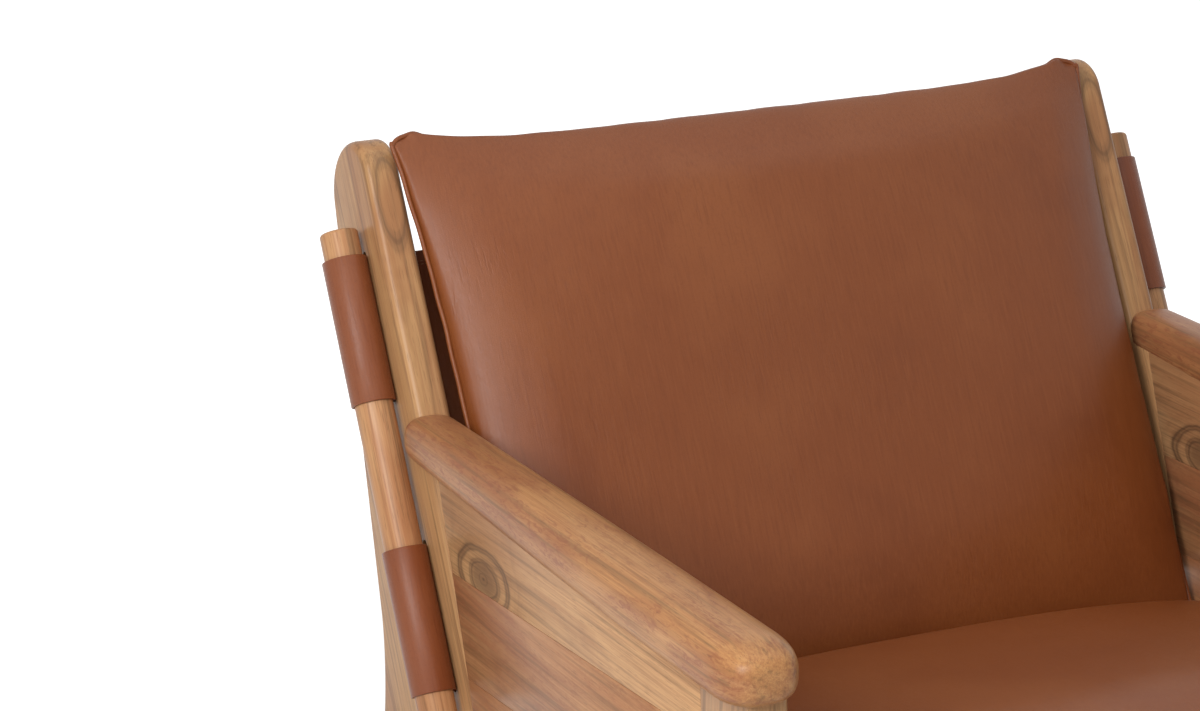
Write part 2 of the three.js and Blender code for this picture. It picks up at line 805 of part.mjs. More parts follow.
// A filled cushion with a knife-edge seam: crowned in front, nearly flat behind, with drawn-in sides.
// Drawn in x (across), z (along) and y (thickness, the crown towards -y), the seam in y = 0.
function cushion(halfWidth, topFlare, footFlare, length, ear, crown, backDepth) {
  const points = [];
  const faces = [];
  const at = (i, j, front) => points.push(cushionPoint(i, j, front)) - 1;
  const cushionPoint = (i, j, front) => {
    const a = Math.sin(((i / cushionStepsAcross) * 2 - 1) * quarterTurn);
    const b = Math.sin(((j / cushionStepsAlong) * 2 - 1) * quarterTurn);
    const trim = 1 - cushionCornerShare * (a * b) ** cushionEarShare;
    const flare = b > 0 ? topFlare : footFlare;
    const x = a * (halfWidth + flare * Math.abs(b) ** cushionFlareShare) * trim;
    const z = b * (length / 2 - ear + ear * Math.abs(a) ** cushionEarShare) * trim;
    const dome = ((1 - a * a) * (1 - b * b)) ** cushionEdgeShare;
    const y = front ? -crown * dome : backDepth * Math.min(1, dome * cushionBackShare);
    return new THREE.Vector3(x, y, z);
  };
  const grids = [true, false].map((front) => {
    const grid = [];
    for (let i = 0; i <= cushionStepsAcross; i++) {
      grid.push([]);
      for (let j = 0; j <= cushionStepsAlong; j++) grid[i].push(at(i, j, front));
    }
    return grid;
  });
  grids.forEach((grid, back) => {
    for (let i = 0; i < cushionStepsAcross; i++) {
      for (let j = 0; j < cushionStepsAlong; j++) {
        const [p, q, r, s] = [grid[i][j], grid[i + 1][j], grid[i + 1][j + 1], grid[i][j + 1]];
        faces.push(...(back ? [p, r, q, p, s, r] : [p, q, r, p, r, s]));
      }
    }
  });
  const geometry = new THREE.BufferGeometry().setFromPoints(points);
  geometry.setIndex(faces);
  return geometryOf(solidOf(geometry));
}

const sides = [
  { name: "right", side: -1 },
  { name: "left", side: 1 },
];

// One side frame: legs, boards, armrest and the plugs over its bolts.
function sideFrame({ name, side }) {
  const group = new THREE.Group();
  group.position.x = side * (frameWidth / 2 - boardThickness / 2);
  group.add(
    piece("rear_leg_" + name, rearLeg(side), "wood"),
    piece("front_leg_" + name, frontLeg(side), "wood"),
    piece("side_board_upper_" + name, upperBoard(), "wood"),
    piece("side_board_middle_" + name, middleBoard(), "wood"),
    piece("seat_rail_" + name, seatRail(), "wood"),
    piece("armrest_" + name, armrest(side), "wood"),
    piece("arm_tenon_" + name, looseTenon(0), "wood"),
  );
  for (const [foot, centre] of [
    ["rear", rearFootCentre],
    ["front", frontFootCentre],
  ]) {
    const pad = piece("glide_" + foot + "_" + name, glide(), "felt");
    pad.position.y = centre;
    group.add(pad);
  }
  return group;
}

// The bolts, barrel nuts and plugs of one side, on the bolt axes.
function fasteners({ name, side }) {
  const group = new THREE.Group();
  for (const [place, { y, z }] of Object.entries(boltPlaces)) {
    const outer = (side * frameWidth) / 2;
    const cap = piece("plug_" + place + "_" + name, plug(), "wood");
    cap.position.set(outer - (side * plugThickness) / 2, y, z);
    const screw = piece("bolt_" + place + "_" + name, bolt(), "steel");
    screw.position.set(outer - side * (plugThickness + gap), y, z);
    screw.rotation.z = side > 0 ? 0 : halfTurn;
    const nut = piece("barrel_nut_" + place + "_" + name, barrelNut(), "steel");
    nut.position.set(side * (innerWidth / 2 - nutSetback), y, z);
    group.add(cap, screw, nut);
  }
  return group;
}

function backAssembly() {
  const group = new THREE.Group();
  group.applyMatrix4(backPlace);
  const top = -backDowelTopDrop - dowelStub;
  const web = piece(
    "back_sling",
    sling(backDowelBottom, backLoopLength, backWindowLength, backDowelBottom + dowelStub, top, 1),
    "leather",
  );
  web.position.y = slingDepth;
  group.add(web, piece("back_stretcher", backStretcher(), "wood"));
  for (const { name, side } of sides) {
    const bar = piece("back_dowel_" + name, dowel(backDowelLength), "wood");
    bar.position.set(side * dowelOffset, slingDepth, backDowelBottom);
    group.add(bar);
  }
  return group;
}

function seatAssembly() {
  const group = new THREE.Group();
  group.applyMatrix4(seatPlace);
  const end = seatDowelStart + seatDowelLength - dowelStub + seatSheetOverhang;
  const web = piece(
    "seat_sling",
    sling(seatDowelStart, seatLoopLength, seatWindowLength, seatDowelStart - seatSheetSetback, end, -1),
    "leather",
  );
  web.rotation.x = quarterTurn;
  group.add(web);
  for (const { name, side } of sides) {
    const bar = piece("seat_dowel_" + name, dowel(seatDowelLength), "wood");
    bar.rotation.x = quarterTurn;
    bar.position.set(side * dowelOffset, -seatDowelStart, 0);
    group.add(bar);
  }
  return group;
}

function stretchers() {
  const group = new THREE.Group();
  group.add(
    piece(
      "front_stretcher",
      boltedStretcher(frontStretcherHeight, frontStretcherCentre, seatAngleDeg, [
        boltPlaces.front_upper,
        boltPlaces.front_lower,
      ]),
      "wood",
    ),
    piece(
      "rear_stretcher",
      boltedStretcher(rearStretcherHeight, rearStretcherCentre, 0, [
        boltPlaces.rear_upper,
        boltPlaces.rear_lower,
      ]),
      "wood",
    ),
  );
  return group;
}

function cushions() {
  const back = new THREE.Group();
  back.applyMatrix4(backPlace);
  const slingFace = slingDepth - slingSheetThickness / 2 - gap;
  const backCushion = piece(
    "back_cushion",
    cushion(
      innerWidth / 2 - backCushionSideGap,
      backCushionTopFlare,
      backCushionFootFlare,
      backCushionHeight + backCushionEar + backCushionEar,
      backCushionEar,
      backCushionCrown,
      slingFace + backCushionSeamForward,
    ),
    "leather",
  );
  backCushion.position.set(0, -backCushionSeamForward, riseAlongBack - backCushionHeight / 2);
  back.add(backCushion);

  const seat = new THREE.Group();
  seat.applyMatrix4(seatPlace);
  const seatFace = slingSheetThickness / 2 + gap;
  const seatCushion = piece(
    "seat_cushion",
    cushion(
      innerWidth / 2 - seatCushionSideGap,
      seatCushionFlare,
      seatCushionFlare,
      seatCushionDepth,
      seatCushionEar,
      seatCushionCrown,
      seatCushionSeamHeight - seatFace,
    ).rotateX(-quarterTurn),
    "leather",
  );
  seatCushion.position.set(0, seatCushionDepth / 2 - seatCushionReach, seatCushionSeamHeight);
  seat.add(seatCushion);
  return [back, seat];
}

// The chair, standing on the floor with its outline centred on the origin.
const chair = new THREE.Group();
chair.name = "lounge_chair";
for (const one of sides) chair.add(sideFrame(one), fasteners(one));
chair.add(backAssembly(), seatAssembly(), stretchers(), ...cushions());
chair.updateMatrixWorld(true);
const outline = new THREE.Box3().setFromObject(chair, true);
chair.position.y = -(outline.min.y + outline.max.y) / 2;

export default chair;
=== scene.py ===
"""A leather sling lounge chair: two plank side frames, slings on dowels outside them, and two loose cushions.

Metres, +Z up. The chair faces -Y, and right and left are the sitter's.
"""

import logging
import math
from contextlib import contextmanager
from dataclasses import dataclass, field
from enum import Enum
from functools import cached_property
from typing import Callable, Iterator, Sequence

import bmesh
import bpy
from mathutils import Matrix, Vector


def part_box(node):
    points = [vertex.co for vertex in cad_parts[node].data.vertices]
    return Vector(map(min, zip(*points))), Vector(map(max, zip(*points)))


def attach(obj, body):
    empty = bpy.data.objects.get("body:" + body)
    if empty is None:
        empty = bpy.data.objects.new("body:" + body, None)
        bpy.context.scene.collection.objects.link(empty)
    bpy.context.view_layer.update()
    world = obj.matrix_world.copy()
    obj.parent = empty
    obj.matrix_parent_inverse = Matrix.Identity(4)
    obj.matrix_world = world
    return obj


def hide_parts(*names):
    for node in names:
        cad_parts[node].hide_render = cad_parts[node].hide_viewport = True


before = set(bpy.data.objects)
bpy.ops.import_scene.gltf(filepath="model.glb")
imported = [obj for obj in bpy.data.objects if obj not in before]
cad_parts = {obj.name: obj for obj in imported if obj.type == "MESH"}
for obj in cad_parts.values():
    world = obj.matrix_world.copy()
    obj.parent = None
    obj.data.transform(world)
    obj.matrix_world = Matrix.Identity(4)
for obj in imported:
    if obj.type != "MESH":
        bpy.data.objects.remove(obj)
log = logging.getLogger("lounge_chair")

MM = 0.001
GAP = 0.3 * MM
CUT_OVERRUN = 40 * MM
SAWN_RIM = 0.6 * MM
SOFT_RIM = 0.5 * MM
TINY = 1e-5
ALONG_X = Matrix.Rotation(math.pi / 2, 3, "Y")
ALONG_Y = Matrix.Rotation(math.pi / 2, 3, "X")
ALONG_Z = Matrix.Identity(3)
Tint = tuple[float, float, float, float]


class Side(Enum):
    """The two side frames, by the sign of their x."""

    RIGHT = -1
    LEFT = 1

    @property
    def word(self) -> str:
        """The side's name as it stands in piece names."""
        return self.name.lower()


class Pick(Enum):
    """What an operator works on in edit mode."""

    VERT = "verts"
    EDGE = "edges"
    FACE = "faces"


# Workbench


def alone(piece: bpy.types.Object) -> None:
    """Leaves one piece selected and active.

    Args:
        piece: The piece.
    """
    bpy.ops.object.select_all(action="DESELECT")
    piece.select_set(True)
    bpy.context.view_layer.objects.active = piece


@contextmanager
def editing(piece: bpy.types.Object, pick: Pick = Pick.VERT) -> Iterator[None]:
    """Opens a piece in edit mode with nothing selected, and closes it again.

    Args:
        piece: The piece.
        pick: What is selected in it.

    Returns:
        A context in which the piece is open.
    """
    alone(piece)
    bpy.ops.object.mode_set(mode="EDIT")
    bpy.ops.mesh.select_mode(type=pick.name)
    bpy.ops.mesh.select_all(action="DESELECT")
    yield
    bpy.ops.object.mode_set(mode="OBJECT")


def choose(piece: bpy.types.Object, pick: Pick, test: Callable[..., bool]) -> None:
    """Selects what passes a test, while the piece is in edit mode.

    Args:
        piece: The piece in edit mode.
        pick: Whether vertices, edges or faces are tested.
        test: Takes one vertex, edge or face and says whether it is wanted.
    """
    mesh = bmesh.from_edit_mesh(piece.data)
    for item in getattr(mesh, pick.value):
        item.select = test(item)
    mesh.select_flush_mode()
    bmesh.update_edit_mesh(piece.data)


def named(name: str) -> bpy.types.Object:
    """Gives the newest object its name, with its place put into its mesh.

    Args:
        name: The piece's name.

    Returns:
        The piece, at the origin and unturned.
    """
    piece = bpy.context.object
    alone(piece)
    piece.name = piece.data.name = name
    bpy.ops.object.transform_apply(location=True, rotation=True, scale=True)
    return piece


def moved(piece: bpy.types.Object, matrix: Matrix) -> bpy.types.Object:
    """Puts a piece's mesh in place, its faces still pointing out.

    Args:
        piece: The piece.
        matrix: Where its mesh goes.

    Returns:
        The same piece.
    """
    piece.data.transform(matrix)
    if matrix.determinant() < 0:
        piece.data.flip_normals()
    return piece


def joined(pieces: Sequence[bpy.types.Object], name: str) -> bpy.types.Object:
    """Makes one piece of several.

    Args:
        pieces: The pieces, which are used up.
        name: The new piece's name.

    Returns:
        The piece, at the origin and unturned.
    """
    alone(pieces[0])
    for piece in pieces:
        piece.select_set(True)
    bpy.ops.object.join()
    return named(name)


def outwards(piece: bpy.types.Object) -> None:
    """Turns a closed piece's faces outwards.

    Args:
        piece: The piece.
    """
    with editing(piece):
        bpy.ops.mesh.select_all(action="SELECT")
        bpy.ops.mesh.normals_make_consistent(inside=False)


def smoothed(piece: bpy.types.Object, degrees: float = 32) -> bpy.types.Object:
    """Shades a piece smooth apart from its sharper edges.

    Args:
        piece: The piece.
        degrees: How sharp an edge has to be to stay sharp.

    Returns:
        The same piece.
    """
    alone(piece)
    bpy.ops.object.shade_smooth_by_angle(angle=math.radians(degrees))
    return piece


def applied(piece: bpy.types.Object, kind: str, **settings: object) -> bpy.types.Object:
    """Adds a modifier to a piece and applies it.

    Args:
        piece: The piece to change.
        kind: The modifier's type.
        **settings: The modifier's values.

    Returns:
        The same piece.
    """
    alone(piece)
    bpy.ops.object.modifier_add(type=kind)
    modifier = piece.modifiers[-1]
    for key, value in settings.items():
        setattr(modifier, key, value)
    bpy.ops.object.modifier_apply(modifier=modifier.name)
    return piece


def carved(piece: bpy.types.Object, cutter: bpy.types.Object, operation: str = "DIFFERENCE") -> None:
    """Cuts a piece with another, which is used up."""
    applied(piece, "BOOLEAN", object=cutter, operation=operation, solver="EXACT")
    bpy.data.objects.remove(cutter)


def rounded_edges(piece: bpy.types.Object, test: Callable[..., bool], size: float, steps: int) -> None:
    """Rounds the edges that pass a test.

    Args:
        piece: The piece to change.
        test: Says of an edge whether it is rounded.
        size: The rounding's size.
        steps: The rounding's number of faces.
    """
    with editing(piece, Pick.EDGE):
        choose(piece, Pick.EDGE, test)
        bpy.ops.mesh.bevel(offset=size, segments=steps, profile=0.5, affect="EDGES", clamp_overlap=False)


def trimmed(piece: bpy.types.Object, at: Vector, normal: Vector) -> None:
    """Cuts away what lies on a plane's outer side and softens the new rim.

    Args:
        piece: The piece to cut.
        at: A point of the plane.
        normal: The direction that is cut away.
    """
    with editing(piece, Pick.EDGE):
        bpy.ops.mesh.select_all(action="SELECT")
        bpy.ops.mesh.bisect(plane_co=at, plane_no=normal, use_fill=True, clear_outer=True)
        bpy.ops.mesh.bevel(offset=SAWN_RIM, segments=2, profile=0.5, affect="EDGES", clamp_overlap=True)


def runs_along(edge: bmesh.types.BMEdge, axis: int) -> bool:
    """Whether an edge runs along an axis."""
    step = edge.verts[1].co - edge.verts[0].co
    return abs(step[axis]) > 0.999 * step.length


def lies_across(edge: bmesh.types.BMEdge, axis: int) -> bool:
    """Whether an edge lies square to an axis."""
    return abs(edge.verts[0].co[axis] - edge.verts[1].co[axis]) < TINY


def block(name: str, centre: Sequence[float], size: Sequence[float]) -> bpy.types.Object:
    """A plain block, as a start for a piece or as a cutter."""
    bpy.ops.mesh.primitive_cube_add(size=1, location=centre, scale=size)
    return named(name)


def rod(
    name: str, centre: Vector, diameter: float, length: float, turn: Matrix = ALONG_Z, sides: int = 48
) -> bpy.types.Object:
    """A round bar whose length runs along the turned z axis."""
    bpy.ops.mesh.primitive_cylinder_add(vertices=sides, radius=diameter / 2, depth=length)
    return moved(named(name), Matrix.Translation(centre) @ turn.to_4x4())


def middle_of(node: str) -> Vector:
    """The middle of a node of the model."""
    low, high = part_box(node)
    return (low + high) / 2


# Lines of the side view


@dataclass(frozen=True)
class Line:
    """A straight line of the side view, in y (to the rear) and z (up).

    Attributes:
        at: A point of the line.
        along: Its direction.
    """

    at: Vector
    along: Vector

    @classmethod
    def leaning(cls, y: float, z: float, degrees: float) -> "Line":
        """A line through a point that leans back from the upright."""
        turn = math.radians(degrees)
        return cls(Vector((y, z)), Vector((math.sin(turn), math.cos(turn))))

    @classmethod
    def rising(cls, y: float, z: float, degrees: float) -> "Line":
        """A line through a point that rises to the front."""
        turn = math.radians(degrees)
        return cls(Vector((y, z)), Vector((-math.cos(turn), math.sin(turn))))

    @classmethod
    def between(cls, start: Vector, end: Vector) -> "Line":
        """The line through two points."""
        return cls(start, (end - start).normalized())

    @classmethod
    def level(cls, z: float) -> "Line":
        """A level line at a height."""
        return cls(Vector((0, z)), Vector((1, 0)))

    def meet(self, other: "Line") -> Vector:
        """The point where two lines meet.

        Args:
            other: The other line.

        Returns:
            The point, in y and z.
        """
        apart = other.at - self.at
        across = self.along.x * other.along.y - self.along.y * other.along.x
        step = (apart.x * other.along.y - apart.y * other.along.x) / across
        return self.at + self.along * step

    def shifted(self, y: float = 0.0, z: float = 0.0) -> "Line":
        """The same line, moved."""
        return Line(self.at + Vector((y, z)), self.along)


@dataclass(frozen=True)
class Layout:
    """Sizes and places that the sub-assemblies share."""

    frame_width: float = 780 * MM
    thickness: float = 34 * MM
    back_angle: float = 28.5
    post_height: float = 764 * MM
    post_top_setback: float = 304 * MM
    seat_angle: float = 8.5
    seat_plane: float = 248 * MM
    board_top: float = 516 * MM
    front_leg_reach: float = 448 * MM
    rear_foot_setback: float = 345 * MM
    rear_foot_width: float = 52 * MM
    sling_depth: float = 43 * MM
    dowel_diameter: float = 35 * MM
    leather: float = 2.5 * MM

    @property
    def shift(self) -> float:
        """How far the side view's y lies from the chair's."""
        return middle_of("glide_rear_right").y - (self.rear_foot_setback - self.rear_foot_width / 2)

    @property
    def inner_width(self) -> float:
        """The room between the side frames."""
        return self.frame_width - 2 * self.thickness

    @property
    def dowel_offset(self) -> float:
        """How far the dowels lie from the chair's middle."""
        return self.frame_width / 2 + self.dowel_diameter / 2 + self.leather + 2 * GAP

    def plank_x(self, side: Side) -> float:
        """The middle of a side plank."""
        return side.value * (self.frame_width - self.thickness) / 2

    def back(self) -> Matrix:
        """The back's own axes: z up the back, y behind it."""
        place = Matrix.Translation((0, self.post_top_setback + self.shift, self.post_height))
        return place @ Matrix.Rotation(-math.radians(self.back_angle), 4, "X")

    def seat(self) -> Matrix:
        """The seat's own axes: y to the rear along the seat, z square to it."""
        place = Matrix.Translation((0, self.shift, self.seat_plane))
        return place @ Matrix.Rotation(-math.radians(self.seat_angle), 4, "X")

    def back_sling(self) -> Matrix:
        """The back sling's axes: z up the sling, y behind it."""
        return self.back() @ Matrix.Translation((0, self.sling_depth, 0))

    def seat_sling(self) -> Matrix:
        """The seat sling's axes: z forward along it, y above it."""
        return self.seat() @ Matrix.Rotation(math.pi / 2, 4, "X")


# Finishes


@dataclass(frozen=True)
class Pattern:
    """A cloudy pattern, drawn out along z.

    Attributes:
        scale: How many lumps it has in a metre.
        along: The share of them that it has along z.
        detail: How many finer layers it has.
        rough: How strong each finer layer is.
        warp: How far it is twisted.
    """

    scale: float
    along: float = 1.0
    detail: float = 2.0
    rough: float = 0.5
    warp: float = 0.0


class Graph:
    """A tree of nodes, with one short call for each kind that the finishes use."""

    def __init__(self, owner: bpy.types.Material | bpy.types.World) -> None:
        """Empties the tree.

        Args:
            owner: The material or world that it belongs to.
        """
        owner.use_nodes = True
        self.owner = owner
        self.tree = owner.node_tree
        self.tree.nodes.clear()

    @classmethod
    def new(cls, name: str) -> "Graph":
        """The empty tree of a new material."""
        return cls(bpy.data.materials.new(name))

    @cached_property
    def place(self) -> bpy.types.NodeSocket:
        """Places in the chair's own axes."""
        return self.add("ShaderNodeTexCoord").outputs["Object"]

    def add(self, kind: str, inputs: dict | None = None, **settings: object) -> bpy.types.Node:
        """Adds a node.

        Args:
            kind: The node's type.
            inputs: Values or other nodes' sockets, by input name or number.
            **settings: The node's own settings.

        Returns:
            The node.
        """
        node = self.tree.nodes.new(kind)
        for key, value in settings.items():
            setattr(node, key, value)
        for key, value in (inputs or {}).items():
            if isinstance(value, bpy.types.NodeSocket):
                self.tree.links.new(value, node.inputs[key])
            else:
                node.inputs[key].default_value = value
        return node

    def math(self, operation: str, *values: object) -> bpy.types.NodeSocket:
        """One sum on numbers."""
        return self.add("ShaderNodeMath", dict(enumerate(values)), operation=operation).outputs[0]

    def vector(self, operation: str, *values: object) -> bpy.types.Node:
        """One sum on vectors."""
        return self.add("ShaderNodeVectorMath", dict(enumerate(values)), operation=operation)

    def seen_from(
        self, centre: Sequence[float], turn: Sequence[float] = (0, 0, 0), reach: Sequence[float] = (1, 1, 1)
    ) -> bpy.types.NodeSocket:
        """Places counted from a centre, along turned axes, in lengths of its reach."""
        values = {"Vector": self.place, "Location": centre, "Rotation": turn, "Scale": reach}
        return self.add("ShaderNodeMapping", values, vector_type="TEXTURE").outputs[0]

    def stretched(self, place: bpy.types.NodeSocket, scale: Sequence[float]) -> bpy.types.NodeSocket:
        """Places drawn out or in along their axes."""
        return self.vector("MULTIPLY", place, scale).outputs[0]

    def clouds(
        self, place: bpy.types.NodeSocket, pattern: Pattern, output: str = "Fac"
    ) -> bpy.types.NodeSocket:
        """A pattern's value or colour at each place.

        Args:
            place: The places.
            pattern: The pattern.
            output: Fac for one value, Color for three.

        Returns:
            The value or colour.
        """
        if pattern.along != 1.0:
            place = self.stretched(place, (1, 1, pattern.along))
        values = {"Vector": place, "Scale": pattern.scale, "Detail": pattern.detail}
        values |= {"Roughness": pattern.rough, "Distortion": pattern.warp}
        return self.add("ShaderNodeTexNoise", values).outputs[output]

    def between(
        self, value: bpy.types.NodeSocket, low: float, high: float, start: float = 0.0, end: float = 1.0
    ) -> bpy.types.NodeSocket:
        """A value from low to high, as a smooth step from start to end."""
        values = {"Value": value, "From Min": low, "From Max": high, "To Min": start, "To Max": end}
        return self.add("ShaderNodeMapRange", values, interpolation_type="SMOOTHSTEP").outputs[0]

    def blend(self, share: object, first: object, second: object) -> bpy.types.NodeSocket:
        """Two colours mixed by a share."""
        return self.add("ShaderNodeMix", {0: share, 6: first, 7: second}, data_type="RGBA").outputs[2]

    def bump(self, height: bpy.types.NodeSocket, depth: float, under: object = None) -> bpy.types.NodeSocket:
        """A relief.

        Args:
            height: Its height, as a share of its depth.
            depth: Its depth in metres.
            under: The relief that it lies on, if any.

        Returns:
            The faces' directions.
        """
        values = {"Height": height, "Distance": depth, "Strength": 1.0}
        if under is not None:
            values["Normal"] = under
        return self.add("ShaderNodeBump", values).outputs[0]

    def rays_seen(self) -> bpy.types.NodeSocket:
        """1 on the rays that show a surface, and 0 on the rays that only light.

        Returns:
            The value, 1 on camera, glossy and transmission rays.
        """
        rays = self.add("ShaderNodeLightPath").outputs
        seen = self.math("MAXIMUM", rays["Is Camera Ray"], rays["Is Glossy Ray"])
        return self.math("MAXIMUM", seen, rays["Is Transmission Ray"])

    def finished(self, **values: object) -> bpy.types.Material:
        """Closes the graph with its shader.

        Args:
            **values: The shader's inputs, with _ for a space.

        Returns:
            The material.
        """
        inputs = {key.replace("_", " "): value for key, value in values.items()}
        shader = self.add("ShaderNodeBsdfPrincipled", inputs)
        self.add("ShaderNodeOutputMaterial", {"Surface": shader.outputs[0]})
        return self.owner


def colour(red: int, green: int, blue: int) -> Tint:
    """A colour as a shader takes it.

    Args:
        red: Its red as it shows on a screen, from 0 to 255.
        green: Its green.
        blue: Its blue.

    Returns:
        Its channels without the screen's curve, from 0 to 1, and 1.
    """

    def straight(share: float) -> float:
        """One channel without the screen's standard curve."""
        return share / 12.92 if share <= 0.04045 else ((share + 0.055) / 1.055) ** 2.4

    return (straight(red / 255), straight(green / 255), straight(blue / 255), 1.0)


@dataclass(frozen=True)
class Figure:
    """A knot or an oval of grain in a plank.

    Attributes:
        centre: Where it lies in the chair.
        reach: Half its size along x, y and z before its turn.
        turn: Its turn about x in degrees.
        rings: How many dark rings it has.
        dark: How dark its rings are.
        pith: How dark its middle is.
        hollow: The share of its reach inside which it has no rings.
        push: How many growth rings it pushes aside.
    """

    centre: tuple[float, float, float]
    reach: tuple[float, float, float]
    turn: float = 0.0
    rings: float = 3.25
    dark: float = 0.6
    pith: float = 0.0
    hollow: float = 0.0
    push: float = 2.2


@dataclass(frozen=True)
class WoodFinish:
    """Oiled hardwood: dark lines that follow the growth rings, fibres, pores and redder patches.

    Attributes:
        name: The material's name.
        pale: The golden wood between the lines.
        warm: The redder wood.
        dark: The dark lines.
        ring: How far the growth rings stand apart.
        contrast: How much the dark lines show.
        mottle: How much the redder patches show.
        flecks: How much short reddish flecks show.
        light: The palest streaks.
        fleck: The flecks' colour.
        scar: The colour of knots.
        gloss: The oiled face's roughness.
        shine: How strongly it mirrors.
        depth: How deep its fibres and pores are.
        swing: How far the growth rings wander sideways.
        swings: How they wander.
        rings: The unevenness of the rings, in lumps a ring.
        patches: Where the dark lines show.
        redness: Where the wood is redder.
        fibres: The fibres.
        streaks: The streaks.
        pores: The pores.
        freckles: The flecks.
    """

    name: str
    pale: Tint = colour(186, 142, 97)
    warm: Tint = colour(162, 112, 75)
    dark: Tint = colour(102, 74, 50)
    ring: float = 7 * MM
    contrast: float = 0.6
    mottle: float = 0.6
    flecks: float = 0.0
    light: Tint = colour(208, 166, 116)
    fleck: Tint = colour(140, 84, 58)
    scar: Tint = colour(88, 66, 50)
    gloss: float = 0.34
    shine: float = 0.2
    depth: float = 0.03 * MM
    swing: float = 35 * MM
    swings: Pattern = Pattern(9, 0.22, 2, 0.55)
    rings: Pattern = Pattern(1, detail=5, rough=0.66)
    patches: Pattern = Pattern(24, 0.16, 2, 0.6)
    redness: Pattern = Pattern(17, 0.3, 3, 0.6, 0.6)
    fibres: Pattern = Pattern(620, 0.018, 3, 0.65)
    streaks: Pattern = Pattern(170, 0.022, 3, 0.6)
    pores: Pattern = Pattern(1300, 0.045, 1)
    freckles: Pattern = Pattern(230, 0.3, 3, 0.65, 1.0)

    def made(
        self,
        centre: Sequence[float],
        turn: Sequence[float] = (0, 0, 0),
        pith: Sequence[float] = (0.09, 0.02, 0),
        figures: Sequence[Figure] = (),
    ) -> bpy.types.Material:
        """The finish for one plank, its grain along the turned z axis.

        Args:
            centre: The plank's middle.
            turn: The turn, in radians, that takes z to the grain.
            pith: Where the tree's middle lies, seen from the plank's.
            figures: The plank's knots and ovals.

        Returns:
            The material.
        """
        g = Graph.new(self.name)
        place = g.seen_from(centre, turn)
        slow = g.vector("SUBTRACT", g.clouds(place, self.swings, "Color"), (0.5, 0.5, 0.5)).outputs[0]
        bent = g.vector("ADD", place, g.stretched(slow, (self.swing, self.swing, 0))).outputs[0]
        flat = g.stretched(g.vector("SUBTRACT", bent, pith).outputs[0], (1, 1, 0))
        rings = g.math("DIVIDE", g.vector("LENGTH", flat).outputs["Value"], self.ring)
        marks = []
        for figure in figures:
            push, mark = self.figured(g, figure)
            rings = g.math("ADD", rings, push)
            marks.append(mark)
        along = g.add("ShaderNodeSeparateXYZ", {0: place}).outputs["Z"]
        grown = g.add("ShaderNodeCombineXYZ", {"X": rings, "Z": g.math("MULTIPLY", along, 3.0)}).outputs[0]
        lines = g.clouds(grown, self.rings)
        patch = g.between(g.clouds(place, self.patches), 0.3, 0.6, 0.45, 1.0)
        shows = g.math("MULTIPLY", g.between(lines, 0.53, 0.7), patch)
        fibre = g.clouds(place, self.fibres)
        streak = g.clouds(place, self.streaks)
        pore = g.between(g.clouds(place, self.pores), 0.62, 0.72)
        red = g.clouds(place, self.redness)
        tone = g.blend(g.math("MULTIPLY", g.between(red, 0.42, 0.66), self.mottle), self.pale, self.warm)
        tone = g.blend(g.between(lines, 0.56, 0.36, 0.0, 0.2), tone, self.light)
        tone = g.blend(g.between(fibre, 0.38, 0.68, 0.0, 0.5), tone, self.warm)
        tone = g.blend(g.between(streak, 0.5, 0.7, 0.0, 0.5), tone, self.dark)
        tone = g.blend(g.math("MULTIPLY", shows, self.contrast), tone, self.dark)
        if self.flecks:
            fleck = g.between(g.clouds(place, self.freckles), 0.47, 0.66)
            fleck = g.math("MULTIPLY", fleck, g.between(red, 0.38, 0.56))
            tone = g.blend(g.math("MULTIPLY", fleck, self.flecks), tone, self.fleck)
        for mark in marks:
            tone = g.blend(mark, tone, self.scar)
        tone = g.blend(g.math("MULTIPLY", pore, 0.4), tone, self.dark)
        relief = g.bump(g.math("SUBTRACT", g.math("MULTIPLY", fibre, 0.5), pore), self.depth)
        rough = g.math("MULTIPLY_ADD", fibre, 0.16, self.gloss - 0.08)
        return g.finished(Base_Color=tone, Roughness=rough, Specular_IOR_Level=self.shine, Normal=relief)

    def figured(self, g: Graph, figure: Figure) -> tuple[bpy.types.NodeSocket, bpy.types.NodeSocket]:
        """One knot or oval.

        Args:
            g: The material's nodes.
            figure: The knot or oval.

        Returns:
            How far it pushes the growth rings aside, and the share of its dark marks.
        """
        oval = g.seen_from(figure.centre, (math.radians(figure.turn), 0, 0), figure.reach)
        wobble = g.math("MULTIPLY_ADD", g.clouds(g.place, Pattern(30)), 0.3, -0.15)
        far = g.math("ADD", g.vector("LENGTH", oval).outputs["Value"], wobble)
        wave = g.math("SINE", g.math("MULTIPLY", far, figure.rings * 2 * math.pi))
        small = g.math("SINE", g.math("MULTIPLY", far, figure.rings * 7 * math.pi))
        line = g.math("MULTIPLY", g.between(wave, -0.85, 0.9), g.between(far, 1.45, 1.05))
        line = g.math("MULTIPLY", line, g.between(small, -1.0, 1.0, 0.6, 1.0))
        if figure.hollow:
            line = g.math("MULTIPLY", line, g.between(far, figure.hollow, figure.hollow + 0.15))
        shade = g.between(far, 0.8, 0.3, 0, 0.6 * figure.pith)
        heart = g.between(far, 0.1, 0.03, 0, figure.pith)
        mark = g.math("MAXIMUM", g.math("MAXIMUM", g.math("MULTIPLY", line, figure.dark), shade), heart)
        return g.math("MULTIPLY", g.between(far, 2.2, 0.2), figure.push), mark


